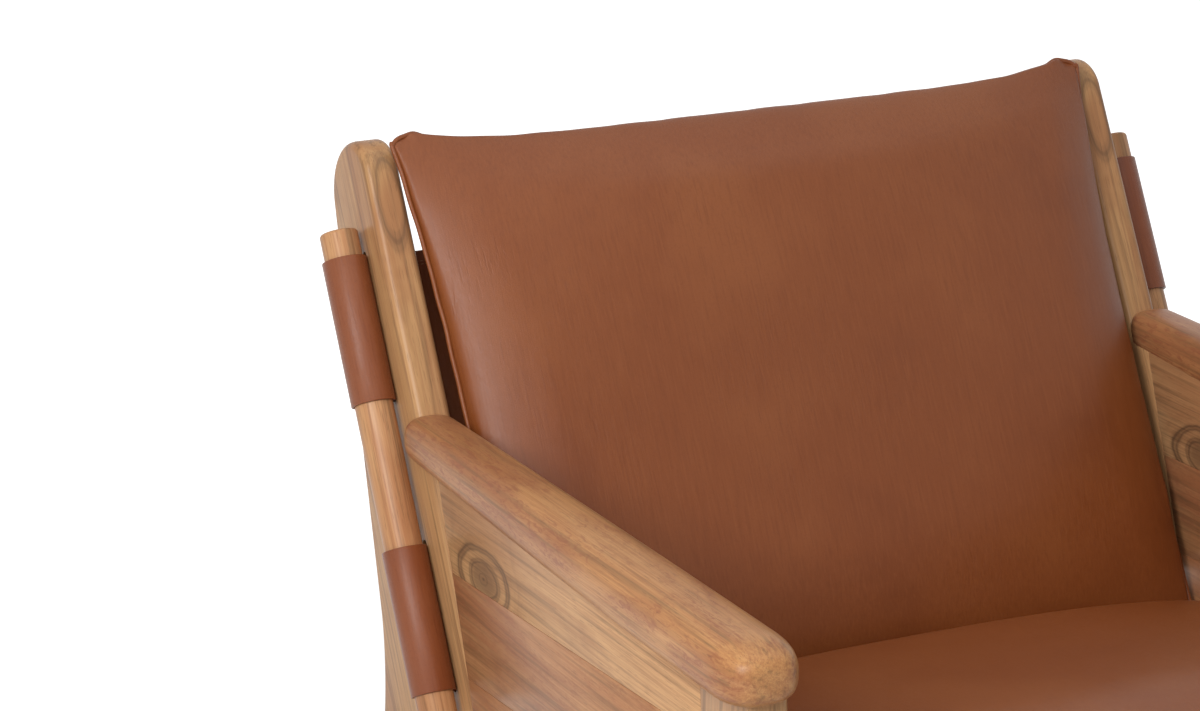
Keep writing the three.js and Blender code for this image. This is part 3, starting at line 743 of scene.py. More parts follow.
@dataclass(frozen=True)
class LeatherFinish:
    """Smooth dyed leather with a pebbled grain, fine lines along a turned z axis and soft creases, which are
    darkened with painted shade.

    Attributes:
        name: The material's name.
        body: The main colour.
        pale: The paler, pulled-up places.
        deep: The darker places, and the painted shade in the creases.
        rough: How matt it is.
        grain: How deep the grain is.
        lines: How much the fine lines show.
        shine: How strongly it mirrors.
        pebbles: How many pebbles the grain has in a metre.
        line_depth: How deep the fine lines are.
        crease_depth: How deep the creases are.
        shades: The paler and darker places.
        speckle: The specks between the pebbles.
        threads: The fine lines.
        creases: The creases.
        creased: Where creases lie.
    """

    name: str
    body: Tint = colour(127, 67, 30)
    pale: Tint = colour(140, 80, 41)
    deep: Tint = colour(108, 52, 20)
    rough: float = 0.33
    grain: float = 0.05 * MM
    lines: float = 0.3
    shine: float = 0.3
    pebbles: float = 1000.0
    line_depth: float = 0.09 * MM
    crease_depth: float = 0.08 * MM
    shades: Pattern = Pattern(5, detail=3, rough=0.55)
    speckle: Pattern = Pattern(420, detail=3, rough=0.6)
    threads: Pattern = Pattern(520, 0.05, 3, 0.62)
    creases: Pattern = Pattern(260, 0.16, 3, 0.6, 0.5)
    creased: Pattern = Pattern(9)

    def made(self, turn: float = 0.0) -> bpy.types.Material:
        """The leather's material.

        Args:
            turn: The turn about x, in radians, that takes z along the fine lines.

        Returns:
            The material.
        """
        g = Graph.new(self.name)
        place = g.seen_from((0, 0, 0), (turn, 0, 0))
        cloud = g.clouds(g.place, self.shades)
        values = {"Vector": g.place, "Scale": self.pebbles}
        cells = g.add("ShaderNodeTexVoronoi", values, feature="DISTANCE_TO_EDGE")
        pebble = g.between(cells.outputs["Distance"], 0.0, 0.14)
        fine = g.clouds(g.place, self.speckle)
        drawn = g.clouds(place, self.threads)
        pull = g.between(g.clouds(place, self.creases), 0.54, 0.7)
        crease_and_shade = g.math("MULTIPLY", pull, g.between(g.clouds(g.place, self.creased), 0.5, 0.66))
        tone = g.blend(g.between(cloud, 0.45, 0.7, 0.0, 0.6), self.body, self.pale)
        tone = g.blend(g.between(cloud, 0.45, 0.28, 0.0, 0.5), tone, self.deep)
        tone = g.blend(g.between(drawn, 0.5, 0.7, 0.0, self.lines), tone, self.deep)
        tone = g.blend(g.between(drawn, 0.5, 0.3, 0.0, self.lines), tone, self.pale)
        tone = g.blend(g.between(fine, 0.5, 0.72, 0.0, 0.2), tone, self.deep)
        # Painted shade: the creases are darkened towards the deep colour, besides their dent in the relief
        # below.
        tone = g.blend(g.math("MULTIPLY", crease_and_shade, 0.12), tone, self.deep)
        rough = g.math("MULTIPLY_ADD", fine, 0.14, self.rough - 0.07)
        relief = g.bump(g.math("MULTIPLY_ADD", fine, 0.4, pebble), self.grain)
        relief = g.bump(drawn, self.line_depth, relief)
        relief = g.bump(g.math("MULTIPLY", crease_and_shade, -1.0), self.crease_depth, relief)
        return g.finished(Base_Color=tone, Roughness=rough, Specular_IOR_Level=self.shine, Normal=relief)


@dataclass(frozen=True)
class ThreadFinish:
    """Waxed thread, paler than the leather."""

    name: str = "waxed_thread"
    body: Tint = colour(188, 140, 100)
    shade: Tint = colour(128, 84, 56)
    twist: Pattern = Pattern(1400, detail=1)

    def made(self) -> bpy.types.Material:
        """The thread's material.

        Returns:
            The material.
        """
        g = Graph.new(self.name)
        tone = g.blend(g.clouds(g.place, self.twist), self.body, self.shade)
        return g.finished(Base_Color=tone, Roughness=0.6)


@dataclass(frozen=True)
class SteelFinish:
    """Zinc-plated steel with a fine brushing along x."""

    name: str = "plated_steel"
    bright: Tint = colour(196, 196, 192)
    dull: Tint = colour(158, 158, 156)
    brushing: Pattern = Pattern(160, detail=3, rough=0.6)

    def made(self) -> bpy.types.Material:
        """The steel's material.

        Returns:
            The material.
        """
        g = Graph.new(self.name)
        brush = g.clouds(g.stretched(g.place, (1, 30, 30)), self.brushing)
        rough = g.math("MULTIPLY_ADD", brush, 0.2, 0.24)
        return g.finished(Base_Color=g.blend(brush, self.bright, self.dull), Roughness=rough, Metallic=1.0)


@dataclass(frozen=True)
class FeltFinish:
    """Dense grey-brown felt."""

    name: str = "dense_felt"
    deep: Tint = colour(70, 64, 58)
    pale: Tint = colour(104, 96, 88)
    nap: float = 0.3 * MM
    hairs: Pattern = Pattern(900, detail=4, rough=0.7, warp=1.5)

    def made(self) -> bpy.types.Material:
        """The felt's material.

        Returns:
            The material.
        """
        g = Graph.new(self.name)
        hair = g.clouds(g.place, self.hairs)
        tone = g.blend(hair, self.deep, self.pale)
        return g.finished(Base_Color=tone, Roughness=0.95, Normal=g.bump(hair, self.nap))


def dressed(piece: bpy.types.Object, material: bpy.types.Material) -> bpy.types.Object:
    """Gives a piece one material all over.

    Args:
        piece: The piece.
        material: Its material.

    Returns:
        The same piece.
    """
    piece.data.materials.clear()
    piece.data.materials.append(material)
    return piece


def placed(
    piece: bpy.types.Object,
    material: bpy.types.Material,
    body: str = "frame",
    nodes: Sequence[str] = (),
) -> bpy.types.Object:
    """Finishes a piece and gives it to the body that it belongs to.

    Args:
        piece: The piece.
        material: Its finish.
        body: The body that carries it.
        nodes: The nodes of the model that it stands for.

    Returns:
        The piece.
    """
    dressed(piece, material)
    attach(piece, body)
    if nodes:
        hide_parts(*nodes)
    log.info("%s: %d faces on %s", piece.name, len(piece.data.polygons), body)
    return piece


# Side frames


@dataclass
class SideFrame:
    """One side: legs and boards cut from one plank outline, with slots, bores and mortises."""

    side: Side
    layout: Layout
    arris: float = 8 * MM
    post_top_width: float = 84 * MM
    post_top_fall: float = 16.0
    post_front_radius: float = 34 * MM
    post_rear_radius: float = 55 * MM
    post_rear_angle: float = 14.5
    elbow_height: float = 250 * MM
    elbow_radius: float = 260 * MM
    rear_arch_width: float = 68 * MM
    rear_arch_radius: float = 90 * MM
    foot_radius: float = 10 * MM
    foot_height: float = 4.3 * MM
    front_foot_reach: float = 472 * MM
    front_foot_width: float = 44 * MM
    front_leg_top_width: float = 86 * MM
    front_arch_width: float = 78 * MM
    front_arch_radius: float = 60 * MM
    front_top_radius: float = 12 * MM
    shoulder_radius: float = 14 * MM
    rear_joint_setback: float = 145 * MM
    rear_joint_angle: float = 20.0
    board_joint: float = 421 * MM
    board_rise: float = 2.5
    middle_board: float = 90 * MM
    rail_below_seat: float = 31 * MM
    slot_width: float = 9 * MM
    slot_room: float = 2 * MM
    plug_bore: float = 14.6 * MM
    plug_depth: float = 11.6 * MM
    bolt_bore: float = 6.6 * MM
    stub_mortise: tuple[float, float, float] = (40.6 * MM, 14.6 * MM, 40.6 * MM)
    stub_depth: float = 93 * MM
    stub_drop: float = 262 * MM
    back_slots: tuple[float, ...] = (-429.5 * MM, -162.5 * MM)
    back_slot_length: float = 135 * MM
    seat_slots: tuple[float, ...] = (58 * MM, 292 * MM)
    seat_slot_length: float = 130 * MM
    arc_steps: int = 14
    arris_steps: int = 6
    slot_round: float = 0.48
    slot_steps: int = 6
    drill_sides: int = 24
    in_rear_leg: tuple[float, float] = (350 * MM, 500 * MM)
    in_front_leg: tuple[float, float] = (-500 * MM, 300 * MM)
    in_boards: float = -150 * MM
    lines: dict[str, Line] = field(default_factory=dict)
    corners: tuple[tuple[Vector, float], ...] = ()

    def __post_init__(self) -> None:
        """Works out the lines and corners of the side view."""
        lay = self.layout
        self.x = lay.plank_x(self.side)
        back = Line.leaning(lay.post_top_setback, lay.post_height, lay.back_angle)
        top = Line.rising(lay.post_top_setback, lay.post_height, self.post_top_fall)
        rear_corner = top.at - top.along * self.post_top_width
        rear = Line.leaning(rear_corner.x, rear_corner.y, self.post_rear_angle)
        elbow = rear.meet(Line.level(self.elbow_height))
        rail = Line.rising(0, lay.seat_plane - self.rail_below_seat, lay.seat_angle)
        heel = Vector((lay.rear_foot_setback, 0))
        toe = heel - Vector((lay.rear_foot_width, 0))
        rear_arch = Line.between(heel, elbow).meet(rail) - Vector((self.rear_arch_width, 0))
        rear_arch = Line.between(toe, rear_arch).meet(rail)
        front_toe = Vector((-self.front_foot_reach, 0))
        front_heel = front_toe + Vector((self.front_foot_width, 0))
        front_top = Vector((-lay.front_leg_reach, lay.board_top))
        front_arch = Line.between(front_toe, front_top).meet(rail) + Vector((self.front_arch_width, 0))
        front_arch = Line.between(front_heel, front_arch).meet(rail)
        below = Line.level(-CUT_OVERRUN)
        self.shoulder = back.meet(Line.level(lay.board_top))
        self.lines = {
            "back": back,
            "rail": rail,
            "rear_joint": Line.leaning(self.rear_joint_setback, lay.board_top, self.rear_joint_angle),
            "front_joint": Line.between(front_top + Vector((self.front_leg_top_width, 0)), front_arch),
            "upper_joint": Line.rising(0, self.board_joint, self.board_rise),
            "middle_joint": Line.rising(0, self.board_joint - self.middle_board, self.board_rise),
        }
        self.corners = (
            (Line.between(heel, elbow).meet(below), self.foot_radius),
            (elbow, self.elbow_radius),
            (rear_corner, self.post_rear_radius),
            (back.meet(top), self.post_front_radius),
            (self.shoulder, self.shoulder_radius),
            (front_top, self.front_top_radius),
            (Line.between(front_toe, front_top).meet(below), self.foot_radius),
            (Line.between(front_heel, front_arch).meet(below), self.foot_radius),
            (front_arch, self.front_arch_radius),
            (rear_arch, self.rear_arch_radius),
            (Line.between(toe, rear_arch).meet(below), self.foot_radius),
        )

    def spot(self, point: Vector, x: float = 0.0) -> Vector:
        """A point of the side view as a place in the chair, at the plank's middle plus x."""
        return Vector((self.x + x, point.x + self.layout.shift, point.y))

    def outline(self, name: str, points: Sequence[Vector], x: float) -> bpy.types.Object:
        """A flat outline through points of the side view, x beside the plank's middle.

        Args:
            name: The piece's name.
            points: Its corners.
            x: How far it lies beside the plank's middle.

        Returns:
            The outline.
        """
        bpy.ops.mesh.primitive_circle_add(vertices=len(points), radius=1, fill_type="NGON")
        piece = named(name)
        for vertex, point in zip(piece.data.vertices, points):
            vertex.co = self.spot(point, x)
        return piece

    def thickened(self, piece: bpy.types.Object, thickness: float) -> bpy.types.Object:
        """Gives a flat outline its thickness.

        Args:
            piece: The outline.
            thickness: How thick it becomes, towards +x.

        Returns:
            The same piece.
        """
        with editing(piece):
            bpy.ops.mesh.select_all(action="SELECT")
            bpy.ops.mesh.extrude_region_move(TRANSFORM_OT_translate={"value": (thickness, 0, 0)})
        outwards(piece)
        return piece

    def blank(self, name: str, grow: float = 0.0) -> bpy.types.Object:
        """The whole side as one plank with rounded corners and arrises.

        Args:
            name: The piece's name.
            grow: How much thicker than the plank it is on each face, for a cutter.

        Returns:
            The plank.
        """
        half = self.layout.thickness / 2 + grow
        piece = self.outline(name, [corner for corner, _ in self.corners], -half)
        for i, (corner, radius) in enumerate(self.corners):
            before = self.corners[i - 1][0] - corner
            after = self.corners[(i + 1) % len(self.corners)][0] - corner
            reach = radius / math.tan(before.angle(after) / 2)
            at = self.spot(corner, -half)
            with editing(piece):
                choose(piece, Pick.VERT, lambda v, spot=at: (v.co - spot).length < TINY)
                bpy.ops.mesh.bevel(
                    offset=reach, segments=self.arc_steps, profile=0.5, affect="VERTICES", clamp_overlap=False
                )
        self.thickened(piece, 2 * half)
        rounded_edges(piece, lambda e: lies_across(e, 0), self.arris, self.arris_steps)
        return piece

    def cut_along(self, piece: bpy.types.Object, line: Line, keep: Vector) -> None:
        """Cuts a plank along a line of the side view and keeps the side towards a point.

        Args:
            piece: The plank.
            line: The line.
            keep: A point on the side that is kept.
        """
        normal = Vector((line.along.y, -line.along.x))
        if normal.dot(keep - line.at) > 0:
            normal.negate()
        trimmed(piece, self.spot(line.at), Vector((0, normal.x, normal.y)))

    def board(self, name: str, below: Line, above: Line) -> bpy.types.Object:
        """One board between the two legs.

        Args:
            name: The piece's name.
            below: Its lower edge.
            above: Its upper edge.

        Returns:
            The board.
        """
        piece = self.blank(name)
        middle = Vector((self.in_boards, (below.at.y + above.at.y) / 2))
        rear = self.lines["rear_joint"].shifted(y=-GAP / 2)
        front = self.lines["front_joint"].shifted(y=GAP / 2)
        for edge in (rear, front, below, above):
            self.cut_along(piece, edge, middle)
        return piece

    def leg(self, name: str, joint: Line, keep: Vector) -> bpy.types.Object:
        """One leg, cut from the plank at its joint and above its glide.

        Args:
            name: The piece's name.
            joint: Its joint with the boards.
            keep: A point inside it.

        Returns:
            The leg.
        """
        piece = self.blank(name)
        self.cut_along(piece, joint, keep)
        self.cut_along(piece, Line.level(self.foot_height), keep)
        return piece

    def slot(self, piece: bpy.types.Object, place: Matrix, middle: float, length: float) -> None:
        """Cuts a round-ended slot for one sling loop.

        Args:
            piece: The plank to cut.
            place: The sling's own axes.
            middle: The slot's middle along the sling.
            length: The loop's length.
        """
        size = (self.layout.thickness + CUT_OVERRUN, self.slot_width, length + 2 * self.slot_room)
        cutter = block("slot_cutter", (0, 0, middle), size)
        rounded_edges(cutter, lambda e: runs_along(e, 0), self.slot_width * self.slot_round, self.slot_steps)
        carved(piece, moved(cutter, Matrix.Translation((self.x, 0, 0)) @ place))

    def bolt_bores(self, piece: bpy.types.Object, places: Sequence[str]) -> None:
        """Drills the bolt holes and their counterbores from the outer face.

        Args:
            piece: The leg to drill.
            places: Where the bolts are, by the words in their names.
        """
        for place in places:
            centre = middle_of(f"plug_{place}_{self.side.word}")
            centre.x = self.x
            length = self.layout.thickness + CUT_OVERRUN
            carved(piece, rod("bolt_drill", centre, self.bolt_bore, length, ALONG_X, self.drill_sides))
            centre.x = self.side.value * self.layout.frame_width / 2
            carved(piece, rod("plug_drill", centre, self.plug_bore, 2 * self.plug_depth, ALONG_X))

    def rear_leg(self) -> bpy.types.Object:
        """The rear leg and post, with two slots, a stub mortise and the bolt bores.

        Returns:
            The leg.
        """
        joint = self.lines["rear_joint"].shifted(y=GAP / 2)
        piece = self.leg(f"rear_leg_plank_{self.side.word}", joint, Vector(self.in_rear_leg))
        for middle in self.back_slots:
            self.slot(piece, self.layout.back_sling(), middle, self.back_slot_length)
        inner = -self.side.value * self.layout.thickness / 2 + self.x
        mortise = block("mortise_cutter", (inner, self.stub_depth, -self.stub_drop), self.stub_mortise)
        carved(piece, moved(mortise, self.layout.back()))
        self.bolt_bores(piece, ("rear_upper", "rear_lower"))
        return piece

    def build(self) -> dict[str, bpy.types.Object]:
        """All planks of this side.

        Returns:
            The pieces by the names of the nodes that they stand for.
        """
        word = self.side.word
        upper, middle = self.lines["upper_joint"], self.lines["middle_joint"]
        below = self.lines["rail"].shifted(z=-CUT_OVERRUN)
        beyond = Line.level(self.layout.post_height + CUT_OVERRUN)
        joint = self.lines["front_joint"].shifted(y=-GAP / 2)
        front = self.leg(f"front_leg_plank_{word}", joint, Vector(self.in_front_leg))
        self.bolt_bores(front, ("front_upper", "front_lower"))
        rail = self.board(f"seat_rail_board_{word}", below, middle.shifted(z=-GAP / 2))
        for at in self.seat_slots:
            self.slot(rail, self.layout.seat_sling(), at, self.seat_slot_length)
        rear = self.rear_leg()
        upper_board = self.board(f"upper_side_board_{word}", upper.shifted(z=GAP / 2), beyond)
        middle_board = self.board(
            f"middle_side_board_{word}", middle.shifted(z=GAP / 2), upper.shifted(z=-GAP / 2)
        )
        made = {
            f"rear_leg_{word}": rear,
            f"front_leg_{word}": front,
            f"side_board_upper_{word}": upper_board,
            f"side_board_middle_{word}": middle_board,
            f"seat_rail_{word}": rail,
        }
        for piece in made.values():
            smoothed(piece)
        return made


@dataclass
class Armrest:
    """A rounded armrest, housed over the boards and lapped round the post's outer face."""

    side: Side
    layout: Layout
    planks: SideFrame
    rear_width: float = 50 * MM
    front_width: float = 70 * MM
    rear_thickness: float = 41 * MM
    front_thickness: float = 54 * MM
    above_boards: float = 26 * MM
    past_post: float = 3.5 * MM
    overhang: float = 18 * MM
    rear_nose: float = 20 * MM
    front_nose: float = 46 * MM
    outward: float = 8 * MM
    squareness: float = 0.607
    corner_steps: int = 14
    nose_steps: int = 16
    body_steps: int = 22

    def __post_init__(self) -> None:
        """Works out where the armrest ends."""
        self.top = self.layout.board_top + self.above_boards
        self.rear = self.planks.lines["back"].meet(Line.level(self.top)).x + self.past_post
        self.reach = self.layout.front_leg_reach + self.overhang

    def section(self, y: float, share: float) -> tuple[Vector, Vector]:
        """The middle and the size of the armrest's section.

        Args:
            y: Where the section lies in the side view.
            share: How much of the full section is left in the rounded nose.

        Returns:
            The section's middle and its size.
        """
        grown = math.sin((self.rear - y) / (self.rear + self.reach) * math.pi / 2)
        width = self.rear_width + (self.front_width - self.rear_width) * grown
        thickness = self.rear_thickness + (self.front_thickness - self.rear_thickness) * grown
        x = self.layout.plank_x(self.side) + self.side.value * self.outward
        middle = Vector((x, y + self.layout.shift, self.top - thickness / 2))
        return middle, Vector((width * share, 1, thickness * share))

    def stations(self) -> list[tuple[float, float]]:
        """The places along the armrest and the share of the section at each, from the rear.

        Returns:
            The places and shares.
        """
        turns = [i / self.nose_steps * math.pi / 2 for i in range(1, self.nose_steps + 1)]
        nose = [(1 - math.cos(turn), math.sqrt(math.sin(turn))) for turn in turns]
        rear = [(self.rear - self.rear_nose * inward, share) for inward, share in nose]
        front = [(self.front_nose * inward - self.reach, share) for inward, share in reversed(nose)]
        start, end = rear[-1][0], front[0][0]
        body = [(start + (end - start) * i / self.body_steps, 1.0) for i in range(1, self.body_steps)]
        return rear + body + front

    def build(self) -> bpy.types.Object:
        """The armrest.

        Returns:
            The piece.
        """
        stations = self.stations()
        bpy.ops.mesh.primitive_plane_add(size=1, rotation=(math.pi / 2, 0, 0))
        piece = named(f"rounded_armrest_{self.side.word}")
        with editing(piece):
            bpy.ops.mesh.select_all(action="SELECT")
            round_off = {"segments": self.corner_steps, "profile": self.squareness, "clamp_overlap": False}
            bpy.ops.mesh.bevel(offset=0.5, affect="VERTICES", **round_off)
            bpy.ops.mesh.select_all(action="SELECT")
            bpy.ops.mesh.remove_doubles(threshold=TINY)
        middle, size = self.section(*stations[0])
        moved(piece, Matrix.Translation(middle) @ Matrix.Diagonal(size).to_4x4())
        with editing(piece, Pick.FACE):
            bpy.ops.mesh.select_all(action="SELECT")
            for station in stations[1:]:
                last, last_size = middle, size
                middle, size = self.section(*station)
                bpy.ops.mesh.extrude_region_move(TRANSFORM_OT_translate={"value": middle - last})
                bpy.ops.transform.resize(
                    value=(size.x / last_size.x, 1, size.z / last_size.z), center_override=middle
                )
        outwards(piece)
        carved(piece, self.planks.blank("housing_cutter", GAP))
        carved(piece, self.notch())
        return smoothed(piece, 40)

    def notch(self) -> bpy.types.Object:
        """The cutter that frees the armrest from the post and the room behind it.

        Returns:
            The cutter.
        """
        planks = self.planks
        back = planks.lines["back"].shifted(y=-GAP)
        top = Line.level(self.layout.post_height + CUT_OVERRUN)
        points = [
            planks.shoulder + Vector((-GAP, -CUT_OVERRUN)),
            Vector((self.rear + 3 * CUT_OVERRUN, planks.shoulder.y - CUT_OVERRUN)),
            back.meet(top) + Vector((CUT_OVERRUN, 0)),
            back.meet(top),
            back.meet(Line.level(self.layout.board_top)),
        ]
        half = self.layout.thickness / 2
        outer = self.side.value * (half + GAP)
        inner = -self.side.value * (half + CUT_OVERRUN)
        cutter = planks.outline("post_notch_cutter", points, min(outer, inner))
        return planks.thickened(cutter, abs(outer - inner))


@dataclass
class Dowels:
    """The four round bars that carry the slings outside the side frames."""

    layout: Layout
    back_low: float = -520 * MM
    back_length: float = 448 * MM
    seat_low: float = -30 * MM
    seat_length: float = 410 * MM
    end_radius: float = 3.2 * MM
    end_steps: int = 5
    sides: int = 72

    def bar(self, name: str, x: float, low: float, length: float, place: Matrix) -> bpy.types.Object:
        """One dowel with softened ends.

        Args:
            name: The piece's name.
            x: Where it lies across the chair.
            low: Where it starts along its sling.
            length: Its length.
            place: The sling's own axes.

        Returns:
            The dowel.
        """
        centre = Vector((x, 0, low + length / 2))
        piece = rod(name, centre, self.layout.dowel_diameter, length, sides=self.sides)
        rounded_edges(piece, lambda e: not runs_along(e, 2), self.end_radius, self.end_steps)
        return smoothed(moved(piece, place), 50)

    def build(self, side: Side) -> dict[str, bpy.types.Object]:
        """Both dowels of one side.

        Args:
            side: The side.

        Returns:
            The pieces by the names of their nodes.
        """
        x, word = side.value * self.layout.dowel_offset, side.word
        back, seat = self.layout.back_sling(), self.layout.seat_sling()
        return {
            f"back_dowel_{word}": self.bar(f"back_bar_{word}", x, self.back_low, self.back_length, back),
            f"seat_dowel_{word}": self.bar(f"seat_bar_{word}", x, self.seat_low, self.seat_length, seat),
        }


@dataclass
class Sling:
    """One piece of leather, pulled through the slots and sewn back on itself round the dowels.

    Attributes:
        layout: The shared sizes.
        name: The piece's name.
        node: The node that it stands for.
        place: Its own axes: z along the dowels, y square to the leather.
        low: Where the sheet starts along z.
        high: Where it ends.
        loops: Each loop's start and end along z.
        hem_side: The side of y on which the hem comes back.
        hem: How far the hem reaches in from the side frame.
        hug: Where the loop leaves the dowel, in degrees from the slot.
        arc_step: The loop's turn from point to point, in degrees.
        edge_radius: How far the leather's edges are softened.
        off_middle: How far the sheet lies beside its axes, away from the hem.
        layer_gap: The room between sheet and hem.
        in_slot: How far inside the plank's face the two layers start to part.
        out_of_slot: How far inside that face they have parted.
        lift: How far they part.
        edge_hem: How far the rows of stitches lie from the sheet's free edges.
        row_gap: How far two rows lie apart.
        row_inset: How far a row lies from the hem's edges.
        row_end: How far the long rows end from the side frame.
        pitch: How far the stitches stand apart.
        stitch: A stitch's size, its length last.
    """

    layout: Layout
    name: str
    node: str
    place: Matrix
    low: float
    high: float
    loops: tuple[tuple[float, float], ...]
    hem_side: int
    hem: float = 60 * MM
    hug: float = 19.0
    arc_step: float = 7.0
    edge_radius: float = 0.7 * MM
    off_middle: float = 0.25 * MM
    layer_gap: float = 0.1 * MM
    in_slot: float = 12 * MM
    out_of_slot: float = 1.5 * MM
    lift: float = 0.4 * MM
    edge_hem: float = 13 * MM
    row_gap: float = 3 * MM
    row_inset: float = 4 * MM
    row_end: float = 3 * MM
    pitch: float = 4.6 * MM
    stitch: tuple[float, float, float] = (0.9 * MM, 0.8 * MM, 3.6 * MM)

    @property
    def layer_y(self) -> float:
        """The middle of the sheet's thickness."""
        return -self.off_middle * self.hem_side

    def path(self) -> list[tuple[float, float]]:
        """The way of a loop's middle, in x and y, from the sheet's edge round the dowel to the hem's end.

        Returns:
            The points on the way.
        """
        lay, turned, layer = self.layout, self.hem_side, self.layer_y
        back_layer = layer + turned * (lay.leather + self.layer_gap)
        radius = lay.dowel_diameter / 2 + GAP + lay.leather / 2
        face = lay.frame_width / 2
        inner, outer = face - self.in_slot, face - self.out_of_slot
        count = round((360 - 2 * self.hug) / self.arc_step)
        way = [(inner, layer), (outer, layer - turned * self.lift)]
        for i in range(count + 1):
            turn = math.radians(180 + self.hug + i * (360 - 2 * self.hug) / count)
            way.append((lay.dowel_offset + radius * math.cos(turn), turned * radius * math.sin(turn)))
        way += [(outer, back_layer + turned * self.lift), (inner, back_layer)]
        edge = lay.inner_width / 2
        return way + [(edge, back_layer), (edge - self.hem / 2, back_layer), (edge - self.hem, back_layer)]

    def on_loop(self, edge: bmesh.types.BMEdge, x: float) -> bool:
        """Whether an edge of the sheet is where a loop starts.

        Args:
            edge: The edge.
            x: Where the loops start across the sheet.

        Returns:
            Whether it is.
        """
        middle = (edge.verts[0].co + edge.verts[1].co) / 2
        inside = any(low < middle.z < high for low, high in self.loops)
        return abs(middle.x - x) < TINY and runs_along(edge, 2) and inside

    def build(self) -> bpy.types.Object:
        """The sling without its thread.

        Returns:
            The piece.
        """
        lay = self.layout
        half = lay.inner_width / 2 - GAP
        bpy.ops.mesh.primitive_plane_add(
            size=1, location=(0, self.layer_y, (self.low + self.high) / 2), rotation=(math.pi / 2, 0, 0)
        )
        bpy.context.object.scale = (2 * half, self.high - self.low, 1)
        piece = named(self.name)
        stops = sorted({z for loop in self.loops for z in loop} - {self.low, self.high})
        with editing(piece, Pick.EDGE):
            for z in stops:
                bpy.ops.mesh.select_all(action="SELECT")
                bpy.ops.mesh.bisect(plane_co=(0, 0, z), plane_no=(0, 0, 1))
            for x in (-half + self.hem, half - self.hem, 0):
                bpy.ops.mesh.select_all(action="SELECT")
                bpy.ops.mesh.bisect(plane_co=(x, 0, 0), plane_no=(1, 0, 0))
        for side in Side:
            with editing(piece, Pick.EDGE):
                choose(piece, Pick.EDGE, lambda e, s=side: self.on_loop(e, s.value * half))
                x, y = half, self.layer_y
                for next_x, next_y in self.path():
                    step = (side.value * (next_x - x), next_y - y, 0)
                    bpy.ops.mesh.extrude_region_move(TRANSFORM_OT_translate={"value": step})
                    x, y = next_x, next_y
        outwards(piece)
        applied(piece, "SOLIDIFY", thickness=lay.leather, offset=0, use_even_offset=True)
        corner = math.radians(70)
        applied(piece, "BEVEL", width=self.edge_radius, segments=2, limit_method="ANGLE", angle_limit=corner)
        return smoothed(moved(piece, self.place), 45)

    def flat_width(self) -> float:
        """The leather's width before it was sewn."""
        way = [(self.layout.inner_width / 2, self.layer_y)] + self.path()
        return self.layout.inner_width + 2 * sum(math.dist(a, b) for a, b in zip(way, way[1:]))

    def thread(self) -> bpy.types.Object:
        """The stitching: two rows along each hem, and two along the sheet's free edges.

        Returns:
            The thread.
        """
        half = self.layout.inner_width / 2
        rows = []
        front = self.layer_y - self.hem_side * self.layout.leather / 2
        sheet_back = front + self.hem_side * self.layout.leather
        back = front + self.hem_side * (2 * self.layout.leather + self.layer_gap)
        for row in range(2):
            inset = row * self.row_gap
            for side in Side:
                x = side.value * (half - self.hem + self.row_inset + inset)
                for low, high in self.loops:
                    for y in (front, back):
                        rows.append(self.row((x, y, low + self.row_inset), (x, y, high - self.row_inset)))
            for z in (self.low + self.edge_hem - inset, self.high - self.edge_hem + inset):
                for y, reach in ((front, half - self.row_end), (sheet_back, half - self.hem)):
                    rows.append(self.row((-reach, y, z), (reach, y, z)))
        return smoothed(moved(joined(rows, f"{self.name}_thread"), self.place), 80)

    def row(self, start: Sequence[float], end: Sequence[float]) -> bpy.types.Object:
        """One row of stitches.

        Args:
            start: Where the row starts.
            end: Where it ends.

        Returns:
            The row.
        """
        way = Vector(end) - Vector(start)
        step = way.normalized()
        bpy.ops.mesh.primitive_uv_sphere_add(segments=6, ring_count=4, radius=0.5)
        piece = named("stitch_row")
        moved(piece, Matrix.Diagonal(self.stitch).to_4x4())
        turn = Vector((0, 0, 1)).rotation_difference(way).to_matrix().to_4x4()
        moved(piece, Matrix.Translation(Vector(start) + step * self.stitch[2] / 2) @ turn)
        return applied(
            piece,
            "ARRAY",
            count=int(way.length / self.pitch),
            use_relative_offset=False,
            use_constant_offset=True,
            constant_offset_displace=step * self.pitch,
        )


